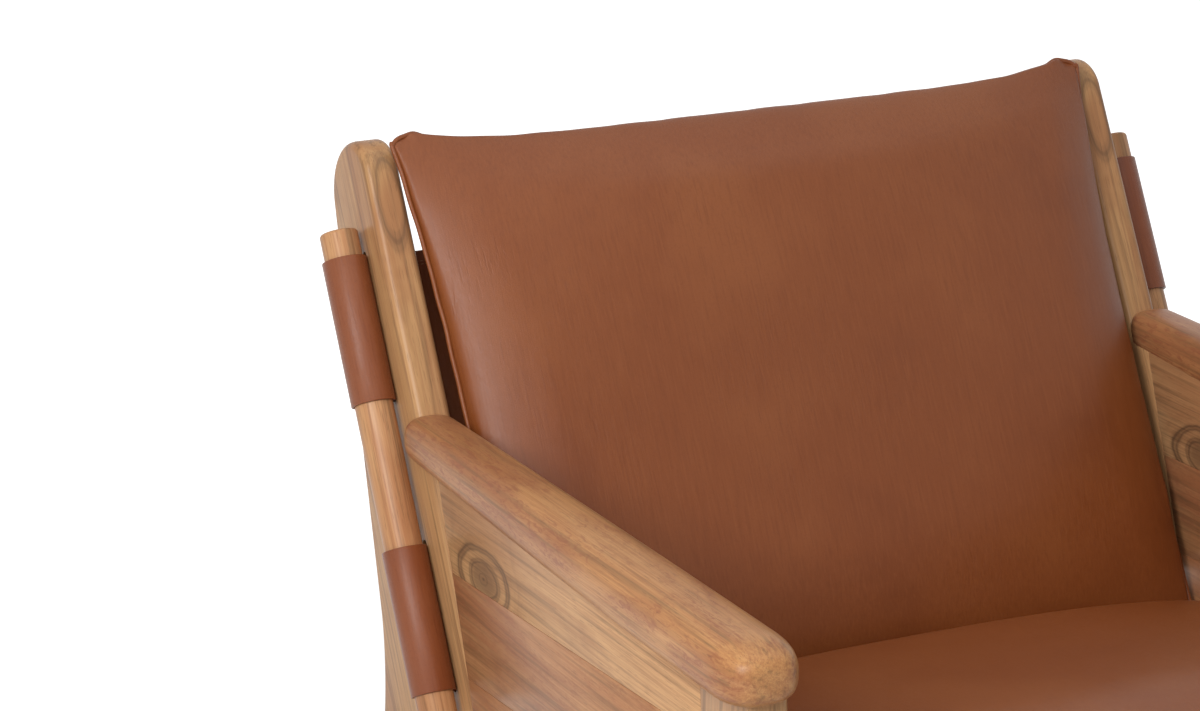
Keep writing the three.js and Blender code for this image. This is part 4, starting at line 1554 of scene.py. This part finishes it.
@dataclass
class Stretchers:
    """The three bars between the side frames."""

    layout: Layout
    arris: float = 5 * MM
    arris_steps: int = 5
    bolted_thickness: float = 26 * MM
    front_height: float = 62 * MM
    rear_height: float = 56 * MM
    back_height: float = 50 * MM
    back_thickness: float = 24 * MM
    back_depth: float = 93 * MM
    back_drop: float = 262 * MM
    stub: tuple[float, float, float] = (751.4 * MM, 14 * MM, 40 * MM)
    nut_bore: float = 10.6 * MM
    nut_reach: float = 18.3 * MM
    drill_sides: int = 32

    def bar(self, name: str, thickness: float, height: float) -> bpy.types.Object:
        """A bar along x with softened arrises, at the origin.

        Args:
            name: The piece's name.
            thickness: Its size along y.
            height: Its size along z.

        Returns:
            The bar.
        """
        piece = block(name, (0, 0, 0), (self.layout.inner_width - 2 * GAP, thickness, height))
        rounded_edges(piece, lambda e: runs_along(e, 0), self.arris, self.arris_steps)
        rounded_edges(piece, lambda e: lies_across(e, 0), SOFT_RIM, 2)
        return piece

    def bolted(self, name: str, node: str, height: float, tilt: float) -> bpy.types.Object:
        """A bar that is bolted, with the cross bores for its barrel nuts open to the rear.

        Args:
            name: The piece's name.
            node: The node that it stands for.
            height: Its height.
            tilt: How far it leans, in degrees.

        Returns:
            The bar.
        """
        centre = middle_of(node)
        place = Matrix.Translation((0, centre.y, centre.z)) @ Matrix.Rotation(-math.radians(tilt), 4, "X")
        piece = moved(self.bar(name, self.bolted_thickness, height), place)
        end = "front" if "front" in node else "rear"
        length = self.bolted_thickness + CUT_OVERRUN
        for side in Side:
            for level in ("upper", "lower"):
                nut = middle_of(f"barrel_nut_{end}_{level}_{side.word}")
                nut.y += (length - self.nut_reach) / 2
                carved(piece, rod("nut_drill", nut, self.nut_bore, length, ALONG_Y, self.drill_sides))
        return smoothed(piece)

    def stubbed(self) -> bpy.types.Object:
        """The bar behind the back, with a stub tenon at each end.

        Returns:
            The bar.
        """
        piece = self.bar("back_bar", self.back_thickness, self.back_height)
        carved(piece, block("stub_tenons", (0, 0, 0), self.stub), "UNION")
        place = self.layout.back() @ Matrix.Translation((0, self.back_depth, -self.back_drop))
        return smoothed(moved(piece, place))

    def build(self) -> dict[str, bpy.types.Object]:
        """The three bars.

        Returns:
            The pieces by the names of their nodes.
        """
        tilt = self.layout.seat_angle
        return {
            "front_stretcher": self.bolted("front_bar", "front_stretcher", self.front_height, tilt),
            "rear_stretcher": self.bolted("rear_bar", "rear_stretcher", self.rear_height, 0),
            "back_stretcher": self.stubbed(),
        }


FILLED_LEATHER = {
    "quality": 6,
    "mass": 0.5,
    "tension_stiffness": 30,
    "compression_stiffness": 30,
    "shear_stiffness": 12,
    "bending_stiffness": 4,
    "use_pressure": True,
    "vertex_group_mass": "seam",
}


@dataclass
class Cushion:
    """A loose cushion: two leather panels with a rolled seam, swollen by their filling.

    Attributes:
        name: The cushion's name.
        node: The node and body that it stands for.
        place: Its own axes: x across, z along, the crown towards -y and the seam in y = 0.
        inner_half: Half the room between the side frames.
        half_width: Half the width across its middle.
        length: The length between its corners.
        crown: How far the front panel bulges.
        back_depth: How far the back panel lies behind the seam.
        top_flare: How far the upper corners stand out.
        foot_flare: How far the lower corners stand out.
        sag: How far the upper and lower edges draw in between the corners.
        ear: How far the corners stand up.
        tip: How far the corners' very tips are turned down.
        side_round: How wide the sides' rounding is in the middle.
        corner_round: How wide it is at the corners.
        foot_round: How wide the lower edge's rounding is.
        overhang: How far the panels bulge out past the seam.
        top_overhang: How far the front one does at the upper edge.
        overhang_end: How high a panel has risen where it no longer bulges out.
        back_share: How much sooner the back panel is full than the front one.
        flare_share: How close to the corners they stand out.
        ear_share: How close to the corners they stand up.
        tip_share: How close to the corners they are turned down.
        tip_in: How far the tips are turned in.
        peak: How high the pucker beside each upper corner is.
        peak_in: How far it lies from the corner.
        peak_reach: How wide it is.
        peak_share: How close to the upper edge it stays.
        dent: How deep the front is dented at the upper corners.
        dent_at: Where the dent lies, from the side and from the top.
        dent_reach: How wide and how high it is.
        post_gap: The room between the cushion and a post's inner face.
        post_slope: How steeply the back panel deepens beside a post.
        roll: The rolled seam's radius.
        roll_out: How far it lies outside the seam, in radii.
        roll_back: How far it lies behind the seam, in radii.
        roll_faces: How finely it is rounded.
        rim_points: How many points it has on each side.
        ripple_height: How uneven the sewn edge is.
        ripple_waves: How long its two waves are.
        ripple_shift: How far the sides' waves are shifted against the ends' waves.
        ripple_share: How close to the edge they stay.
        sewn: How close two points have to be to be sewn together.
        swell: How far the filling presses the panels out at most.
        swell_start: The share of a panel's depth from which on it may do so fully.
        steps: How many faces a panel has across and along.
        evenness: How even the panel's grid is, 1 for fully even.
        pressure: The filling's pressure.
        frames: How many moments it has to press.
    """

    name: str
    node: str
    place: Matrix
    inner_half: float
    half_width: float
    length: float
    crown: float
    back_depth: float
    top_flare: float
    foot_flare: float
    sag: float
    ear: float
    tip: float
    side_round: float = 78 * MM
    corner_round: float = 40 * MM
    foot_round: float = 150 * MM
    overhang: float = 3 * MM
    top_overhang: float = 8 * MM
    overhang_end: float = 0.9
    back_share: float = 1.5
    flare_share: float = 2.4
    ear_share: float = 6.5
    tip_share: int = 42
    tip_in: float = 2 * MM
    peak: float = 2.8 * MM
    peak_in: float = 22 * MM
    peak_reach: float = 7 * MM
    dent: float = 4 * MM
    dent_at: tuple[float, float] = (11 * MM, 7 * MM)
    dent_reach: tuple[float, float] = (7 * MM, 5 * MM)
    post_gap: float = 3 * MM
    post_slope: float = 5.0
    roll: float = 2.3 * MM
    roll_out: float = 0.6
    roll_back: float = 0.35
    roll_faces: int = 3
    rim_points: int = 240
    ripple_height: float = 0.45 * MM
    ripple_waves: tuple[float, float] = (9 * MM, 41 * MM)
    ripple_shift: float = 300 * MM
    ripple_share: int = 8
    peak_share: int = 40
    sewn: float = 0.05 * MM
    swell: float = 7 * MM
    swell_start: float = 0.7
    steps: tuple[int, int] = (96, 80)
    evenness: float = 0.45
    pressure: float = 4.0
    frames: int = 20

    def spot(self, a: float, b: float, rise: float) -> Vector:
        """A point of the cushion.

        Args:
            a: Across, from -1 to 1 at the seam.
            b: Along, from -1 to 1 at the seam.
            rise: The bulge of the panel there, towards +y.

        Returns:
            The point in the cushion's own axes.
        """
        inset = 2 * self.roll
        tip = abs(a * b) ** self.tip_share
        flare = self.top_flare if b > 0 else self.foot_flare
        x = a * (self.half_width - inset + flare * abs(b) ** self.flare_share - self.tip_in * tip)
        z = b * (self.length / 2 - inset - self.sag + self.ear * abs(a) ** self.ear_share - self.tip * tip)
        peak = self.hump((1 - abs(a)) * self.half_width, self.peak_in, self.peak_reach)
        z += self.peak * peak * max(0.0, b) ** self.peak_share
        z += self.ripple(a * self.half_width) * b**self.ripple_share
        x += self.ripple(b * self.length / 2 + self.ripple_shift) * a ** (self.ripple_share + 1)
        return Vector((x, rise, z))

    def ripple(self, along: float) -> float:
        """The small unevenness of a sewn edge."""
        short, long = self.ripple_waves
        return self.ripple_height * math.sin(along / short) * math.sin(along / long + 1.0)

    def hump(self, place: float, middle: float, reach: float) -> float:
        """A soft hump, 1 high in its middle."""
        return math.exp(-(((place - middle) / reach) ** 2))

    def edge_rise(self, inward: float, width: float) -> float:
        """How far a panel has risen at a distance from the seam, as a quarter oval of a width."""
        left = 1 - min(1.0, inward / width)
        return math.sqrt(max(0.0, 1 - left * left))

    def fullness(self, a: float, b: float) -> float:
        """How full a panel is: nothing at the corners, most in the middle."""
        left = (a * a * self.half_width + b * b * self.length / 2) / (self.half_width + self.length / 2)
        return 1 - left * left

    def spread(self, share: float) -> float:
        """Brings the grid's lines closer together towards the seam."""
        return self.evenness * share + (1 - self.evenness) * math.sin(share * math.pi / 2)

    def panel(self, front: bool) -> bpy.types.Object:
        """One leather panel, in front a little less full than it will be.

        Args:
            front: Whether it is the front panel.

        Returns:
            The panel.
        """
        across, along = self.steps
        bpy.ops.mesh.primitive_grid_add(x_subdivisions=across, y_subdivisions=along, size=2)
        piece = named("leather_panel")
        for vertex in piece.data.vertices:
            a, b = self.spread(vertex.co.x), self.spread(vertex.co.y)
            beside, beyond = (1 - abs(a)) * self.half_width, (1 - abs(b)) * self.length / 2
            grown = self.side_round - self.corner_round
            rise_x = self.edge_rise(beside, self.corner_round + grown * math.cos(b * math.pi / 2))
            end_round = self.corner_round + grown * math.cos(a * math.pi / 2) if b > 0 else self.foot_round
            rise_z = self.edge_rise(beyond, end_round)
            dome = self.fullness(a, b) * rise_x * rise_z
            if front:
                rise = -(self.crown - self.swell) * dome
                if b > 0:
                    dent = self.hump(beside, self.dent_at[0], self.dent_reach[0])
                    rise += self.dent * dent * self.hump(beyond, self.dent_at[1], self.dent_reach[1])
            else:
                rise = self.back_depth * min(1.0, dome * self.back_share)
                rise = min(rise, self.room_behind(self.spot(a, b, 0).x))
            out_x = self.overhang * self.bulge(rise_x) * rise_z
            out_z = (self.top_overhang if b > 0 and front else self.overhang) * self.bulge(rise_z) * rise_x
            vertex.co = self.spot(a, b, rise) + Vector((math.copysign(out_x, a), 0, math.copysign(out_z, b)))
        return piece

    def room_behind(self, x: float) -> float:
        """How deep the back panel may reach at an x, to stay in front of the posts."""
        return self.post_gap + self.post_slope * max(0.0, self.inner_half - self.post_gap - abs(x))

    def bulge(self, rise: float) -> float:
        """The share of its overhang that a panel has where it has risen so far."""
        return math.sin(math.pi * min(1.0, rise / self.overhang_end))

    def body(self) -> bpy.types.Object:
        """The two panels, sewn together and swollen by the filling.

        Returns:
            The cover.
        """
        piece = joined([self.panel(True), self.panel(False)], f"{self.name}_cover")
        with editing(piece):
            bpy.ops.mesh.select_all(action="SELECT")
            bpy.ops.mesh.remove_doubles(threshold=self.sewn)
            bpy.ops.mesh.select_all(action="SELECT")
            bpy.ops.mesh.normals_make_consistent(inside=False)
        self.fill(piece)
        with editing(piece, Pick.EDGE):
            choose(piece, Pick.EDGE, lambda e: all(abs(v.co.y) < TINY for v in e.verts))
            bpy.ops.transform.edge_crease(value=1)
        applied(piece, "SUBSURF", levels=1, render_levels=1)
        alone(piece)
        bpy.ops.object.shade_smooth()
        return moved(piece, self.place)

    def fill(self, piece: bpy.types.Object) -> None:
        """Presses the panels out from within, each point by at most the swelling, while the seam holds them.

        Args:
            piece: The two panels, sewn together.
        """
        start = [vertex.co.copy() for vertex in piece.data.vertices]
        seam = piece.vertex_groups.new(name="seam")
        seam.add([v.index for v in piece.data.vertices if abs(v.co.y) < TINY], 1.0, "REPLACE")
        alone(piece)
        bpy.ops.object.modifier_add(type="CLOTH")
        cloth = piece.modifiers[-1]
        for key, value in FILLED_LEATHER.items():
            setattr(cloth.settings, key, value)
        cloth.settings.uniform_pressure_force = self.pressure
        cloth.settings.effector_weights.gravity = 0
        cloth.collision_settings.use_collision = False
        cloth.point_cache.frame_start = 1
        cloth.point_cache.frame_end = self.frames
        for moment in range(1, self.frames + 1):
            bpy.context.scene.frame_set(moment)
        bpy.ops.object.modifier_apply(modifier=cloth.name)
        bpy.context.scene.frame_set(1)
        piece.vertex_groups.clear()
        steps = [vertex.co - before for vertex, before in zip(piece.data.vertices, start)]
        farthest = max(step.length for step in steps)
        log.info("%s: pressed out by up to %.1f mm, kept to %.1f", self.name, farthest / MM, self.swell / MM)
        for vertex, before, step in zip(piece.data.vertices, start, steps):
            depth = self.crown if before.y < 0 else self.back_depth
            most = self.swell * min(1.0, abs(before.y) / (self.swell_start * depth))
            if step.length > most:
                step *= most / step.length
            vertex.co = before + step
            vertex.co.y = min(vertex.co.y, self.back_depth, self.room_behind(vertex.co.x))

    def rim(self, outwards_by: float) -> list[Vector]:
        """Points round the seam.

        Args:
            outwards_by: How far outside the seam they lie.

        Returns:
            The points, once round.
        """
        side = [self.spread(2 * i / self.rim_points - 1) for i in range(self.rim_points)]
        rim = [(a, -1.0) for a in side] + [(1.0, b) for b in side]
        rim += [(-a, 1.0) for a in side] + [(-1.0, -b) for b in side]
        points = [self.spot(a, b, 0) for a, b in rim]
        grown = []
        for i, point in enumerate(points):
            along = (points[(i + 3) % len(points)] - points[i - 3]).normalized()
            grown.append(point + Vector((along.z, 0, -along.x)) * outwards_by)
        return grown

    def seam(self) -> bpy.types.Object:
        """The rolled strip of leather round the cushion, outside the seam.

        Returns:
            The roll.
        """
        points = self.rim(self.roll * self.roll_out)
        bpy.ops.mesh.primitive_circle_add(vertices=len(points), radius=1, fill_type="NOTHING")
        piece = named(f"{self.name}_roll")
        for vertex, point in zip(piece.data.vertices, points):
            vertex.co = point + Vector((0, self.roll * self.roll_back, 0))
        alone(piece)
        bpy.ops.object.convert(target="CURVE")
        piece = bpy.context.object
        piece.data.bevel_depth = self.roll
        piece.data.bevel_resolution = self.roll_faces
        bpy.ops.object.convert(target="MESH")
        piece = named(f"{self.name}_roll")
        bpy.ops.object.shade_smooth()
        return moved(piece, self.place)

    def build(self, leather: bpy.types.Material) -> None:
        """The whole cushion, riding on its own body.

        Args:
            leather: Its leather.
        """
        cover = placed(self.body(), leather, self.node, (self.node,))
        placed(self.seam(), leather, self.node)


# Studio


@dataclass(frozen=True)
class SoftBox:
    """A lamp with a soft face, aimed at the chair.

    Attributes:
        name: The lamp's name.
        place: Where it hangs.
        size: Its width and height.
        power: Its power in watts.
        aim: The point that it faces.
    """

    name: str
    place: tuple[float, float, float]
    size: tuple[float, float]
    power: float
    aim: tuple[float, float, float] = (0, 0, 0.5)

    def hang(self) -> None:
        """Adds the lamp."""
        turn = (Vector(self.aim) - Vector(self.place)).to_track_quat("-Z", "Y").to_euler()
        bpy.ops.object.light_add(type="AREA", location=self.place, rotation=turn)
        lamp = bpy.context.object
        lamp.name = self.name
        lamp.data.shape = "RECTANGLE"
        lamp.data.size, lamp.data.size_y = self.size
        lamp.data.energy = self.power


@dataclass(frozen=True)
class Studio:
    """Pale floor and backdrop, soft lights and the camera at the photo's angle.

    Attributes:
        focal: The camera's focal length in millimetres, on a sensor 36 mm wide.
        place: Where the camera stands.
        azimuth: How far it is turned to the chair's right, in degrees.
        elevation: How far it looks down, in degrees.
        clip_end: How far it sees.
        floor_size: The floor's length and width.
        paper: The floor's colour.
        glow: How far from the chair's middle the floor starts and ends to turn white.
        glow_least: How much of white it has under the chair.
        sky: How strongly the surround lights the chair.
        lamps: The lamps.
    """

    focal: float = 120.0
    place: tuple[float, float, float] = (-1.724, -2.8764, 1.628)
    azimuth: float = 26.0
    elevation: float = 17.0
    clip_end: float = 60.0
    floor_size: float = 16.0
    paper: Tint = (0.8, 0.8, 0.8, 1)
    glow: tuple[float, float] = (0.6, 2.0)
    glow_least: float = 0.5
    sky: float = 0.27
    lamps: tuple[SoftBox, ...] = (
        SoftBox("left_soft_box", (-2.5, -1.5, 2.1), (1.2, 1.3), 68),
        SoftBox("front_soft_box", (-1.6, -2.1, 2.4), (1.0, 1.0), 17),
        SoftBox("top_soft_box", (0.2, -0.3, 3.0), (2.2, 2.2), 16),
    )

    def camera(self) -> None:
        """The camera, without shift or depth of field."""
        turn = (math.radians(90 - self.elevation), 0, math.radians(-self.azimuth))
        bpy.ops.object.camera_add(location=self.place, rotation=turn)
        view = bpy.context.object
        view.name = "photo_camera"
        view.data.lens = self.focal
        view.data.sensor_width = 36.0
        view.data.clip_end = self.clip_end
        bpy.context.scene.camera = view

    def floor(self) -> None:
        """A white floor that keeps the chair's shadow."""
        bpy.ops.mesh.primitive_plane_add(size=self.floor_size)
        floor = named("studio_floor")
        g = Graph.new("studio_floor_paper")
        paper = g.add("ShaderNodeBsdfDiffuse", {"Color": self.paper})
        away = g.vector("LENGTH", g.place).outputs["Value"]
        glow = g.math("MULTIPLY", g.rays_seen(), g.between(away, *self.glow, self.glow_least, 1.0))
        light = g.add("ShaderNodeEmission", {"Strength": glow})
        both = g.add("ShaderNodeAddShader", {0: paper.outputs[0], 1: light.outputs[0]})
        g.add("ShaderNodeOutputMaterial", {"Surface": both.outputs[0]})
        dressed(floor, g.owner)

    def world(self) -> None:
        """A white surround that lights softly."""
        g = Graph(bpy.data.worlds.new("studio_white"))
        level = g.add("ShaderNodeMapRange", {"Value": g.rays_seen(), "To Min": self.sky})
        sky = g.add("ShaderNodeBackground", {"Color": (1, 1, 1, 1), "Strength": level.outputs[0]})
        g.add("ShaderNodeOutputWorld", {"Surface": sky.outputs[0]})
        bpy.context.scene.world = g.owner

    def build(self) -> None:
        """Everything round the chair."""
        self.camera()
        self.floor()
        self.world()
        for lamp in self.lamps:
            lamp.hang()
        bpy.context.scene.view_settings.view_transform = "Standard"


@dataclass
class Chair:
    """The whole chair, piece by piece."""

    layout: Layout = field(default_factory=Layout)

    def wood_for(self, node: str, side: Side | None) -> bpy.types.Material:
        """The wood of one piece, with the grain along it.

        Args:
            node: The piece's node.
            side: The side that it is on, if any.

        Returns:
            The material.
        """
        lay = self.layout
        centre = middle_of(node)
        flip = side.value if side else 1
        lean = (-math.radians(lay.back_angle), 0, 0)
        level = (math.pi / 2, 0, 0)
        if "rear_leg" in node:
            middle = (centre.x + 0.001, 0.265 + lay.shift, 0.7185)
            oval = Figure(middle, (0.0125, 0.05, 0.041), -lay.back_angle, 1.25, 0.55, hollow=0.5, push=0.6)
            wood = WoodFinish("post_wood", contrast=0.42, mottle=0.85)
            return wood.made(centre, lean, (flip * 0.012, -0.11, 0), [oval])
        if "front_leg" in node:
            return WoodFinish("leg_wood").made(centre, (0.05, 0, 0), (flip * 0.03, 0.12, 0))
        if "side_board_upper" in node:
            middle = (centre.x, 0.041 + lay.shift, 0.432)
            knot = Figure(middle, (0.3, 0.05, 0.027), 0, 2.25, 0.72, 0.9, push=4)
            wood = WoodFinish("knotted_wood", pale=colour(206, 159, 111), ring=10 * MM, contrast=0.18)
            return wood.made(centre, level, (flip * 0.1, -0.03, 0), [knot])
        if "side_board" in node or "seat_rail" in node:
            brown, red = colour(180, 128, 86), colour(154, 100, 66)
            wood = WoodFinish("board_wood", brown, red, mottle=0.9, flecks=0.4)
            return wood.made(centre, level, (flip * 0.07, 0.06, 0))
        if "armrest" in node:
            gold, red = colour(184, 132, 84), colour(152, 98, 64)
            wood = WoodFinish("arm_wood", gold, red, ring=11 * MM, contrast=0.35, mottle=0.8, flecks=0.7)
            return wood.made(centre, level, (flip * 0.05, -0.08, 0))
        if "dowel" in node:
            turn = lean if "back" in node else (math.pi / 2 - math.radians(lay.seat_angle), 0, 0)
            wood = WoodFinish("dowel_wood", colour(192, 144, 102), colour(164, 108, 72), contrast=0.4)
            return wood.made(centre, turn, (flip * 0.06, 0.05, 0))
        return WoodFinish("bar_wood").made(centre, (0, math.pi / 2, 0), (0.06, 0.05, 0))

    def slings(self, leather: bpy.types.Material, thread: bpy.types.Material) -> None:
        """Both slings with their thread.

        Args:
            leather: The slings' leather.
            thread: Their thread.
        """
        lay = self.layout
        back_low, back_high, seat_low, seat_high = -497 * MM, -98 * MM, -35 * MM, 365 * MM
        back_loops = ((back_low, -365.5 * MM), (-232 * MM, back_high))
        seat_loops = ((-7 * MM, 123 * MM), (227 * MM, 357 * MM))
        made = (
            Sling(lay, "back_web", "back_sling", lay.back_sling(), back_low, back_high, back_loops, 1),
            Sling(lay, "seat_web", "seat_sling", lay.seat_sling(), seat_low, seat_high, seat_loops, -1),
        )
        for sling in made:
            web = placed(sling.build(), leather, nodes=(sling.node,))
            stitches = placed(sling.thread(), thread)
            width, length = sling.flat_width(), sling.high - sling.low

    def plugs(self) -> None:
        """The wood plugs over the bolt heads, softened at the rim."""
        for node in sorted(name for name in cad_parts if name.startswith("plug_")):
            low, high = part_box(node)
            centre = (low + high) / 2
            piece = rod(f"wood_{node}", centre, high.z - low.z, high.x - low.x, ALONG_X)
            rounded_edges(piece, lambda e: not runs_along(e, 0), SOFT_RIM, 2)
            smoothed(piece)
            wood = WoodFinish("plug_wood").made(centre, (0.4, 0, 0), (0.03, 0, 0))
            placed(piece, wood, nodes=(node,))

    def cushions(self) -> tuple[Cushion, Cushion]:
        """The two cushions, described.

        Returns:
            The back cushion and the seat cushion.
        """
        lay = self.layout
        back_seam, seat_seam, sheet = 6 * MM, 50 * MM, 1.5 * MM + GAP
        back_middle, seat_middle = -291.5 * MM, -234.5 * MM
        back_place = lay.back() @ Matrix.Translation((0, -back_seam, back_middle))
        seat_place = lay.seat() @ Matrix.Translation((0, seat_middle, seat_seam))
        seat_place = seat_place @ Matrix.Rotation(-math.pi / 2, 4, "X")
        return (
            Cushion(
                "back_pad",
                "back_cushion",
                back_place,
                lay.inner_width / 2,
                half_width=349 * MM,
                length=582 * MM,
                crown=62 * MM,
                back_depth=lay.sling_depth - sheet + back_seam,
                top_flare=18 * MM,
                foot_flare=1 * MM,
                sag=13 * MM,
                ear=22 * MM,
                tip=15.5 * MM,
            ),
            Cushion(
                "seat_pad",
                "seat_cushion",
                seat_place,
                lay.inner_width / 2,
                half_width=346 * MM,
                length=479 * MM,
                crown=60 * MM,
                back_depth=seat_seam - sheet,
                top_flare=5 * MM,
                foot_flare=5 * MM,
                sag=7 * MM,
                ear=11 * MM,
                tip=7 * MM,
            ),
        )

    def build(self) -> None:
        """Builds every sub-assembly in its order."""
        lay = self.layout
        bars = Dowels(lay)
        for side in Side:
            planks = SideFrame(side, lay)
            for node, piece in planks.build().items():
                placed(piece, self.wood_for(node, side), nodes=(node,))
            node = f"armrest_{side.word}"
            armrest = Armrest(side, lay, planks).build()
            placed(armrest, self.wood_for(node, side), nodes=(node,))
            for node, piece in bars.build(side).items():
                placed(piece, self.wood_for(node, side), nodes=(node,))
        for node, piece in Stretchers(lay).build().items():
            placed(piece, self.wood_for(node, None), nodes=(node,))
        self.plugs()
        brown, pale, deep = colour(124, 64, 33), colour(138, 79, 47), colour(102, 48, 23)
        strap = LeatherFinish("sling_leather", brown, pale, deep)
        self.slings(strap.made(-math.radians(lay.back_angle)), ThreadFinish().made())
        steel, felt = SteelFinish().made(), FeltFinish().made()
        timber = WoodFinish("tenon_wood").made((0, 0, 0.5))
        for name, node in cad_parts.items():
            if name.startswith(("bolt", "barrel_nut")):
                dressed(node, steel)
            elif name.startswith("glide"):
                dressed(node, felt)
            elif name.startswith("arm_tenon"):
                dressed(node, timber)
        leather = LeatherFinish("cushion_leather")
        for cushion in self.cushions():
            cushion.build(leather.made(cushion.place.to_euler().x))


def main() -> None:
    """Builds the studio and the chair."""
    logging.basicConfig(level=logging.INFO, format="%(name)s: %(message)s")
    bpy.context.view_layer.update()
    Studio().build()
    Chair().build()
    bpy.context.view_layer.update()


if __name__ == "__main__":
    main()
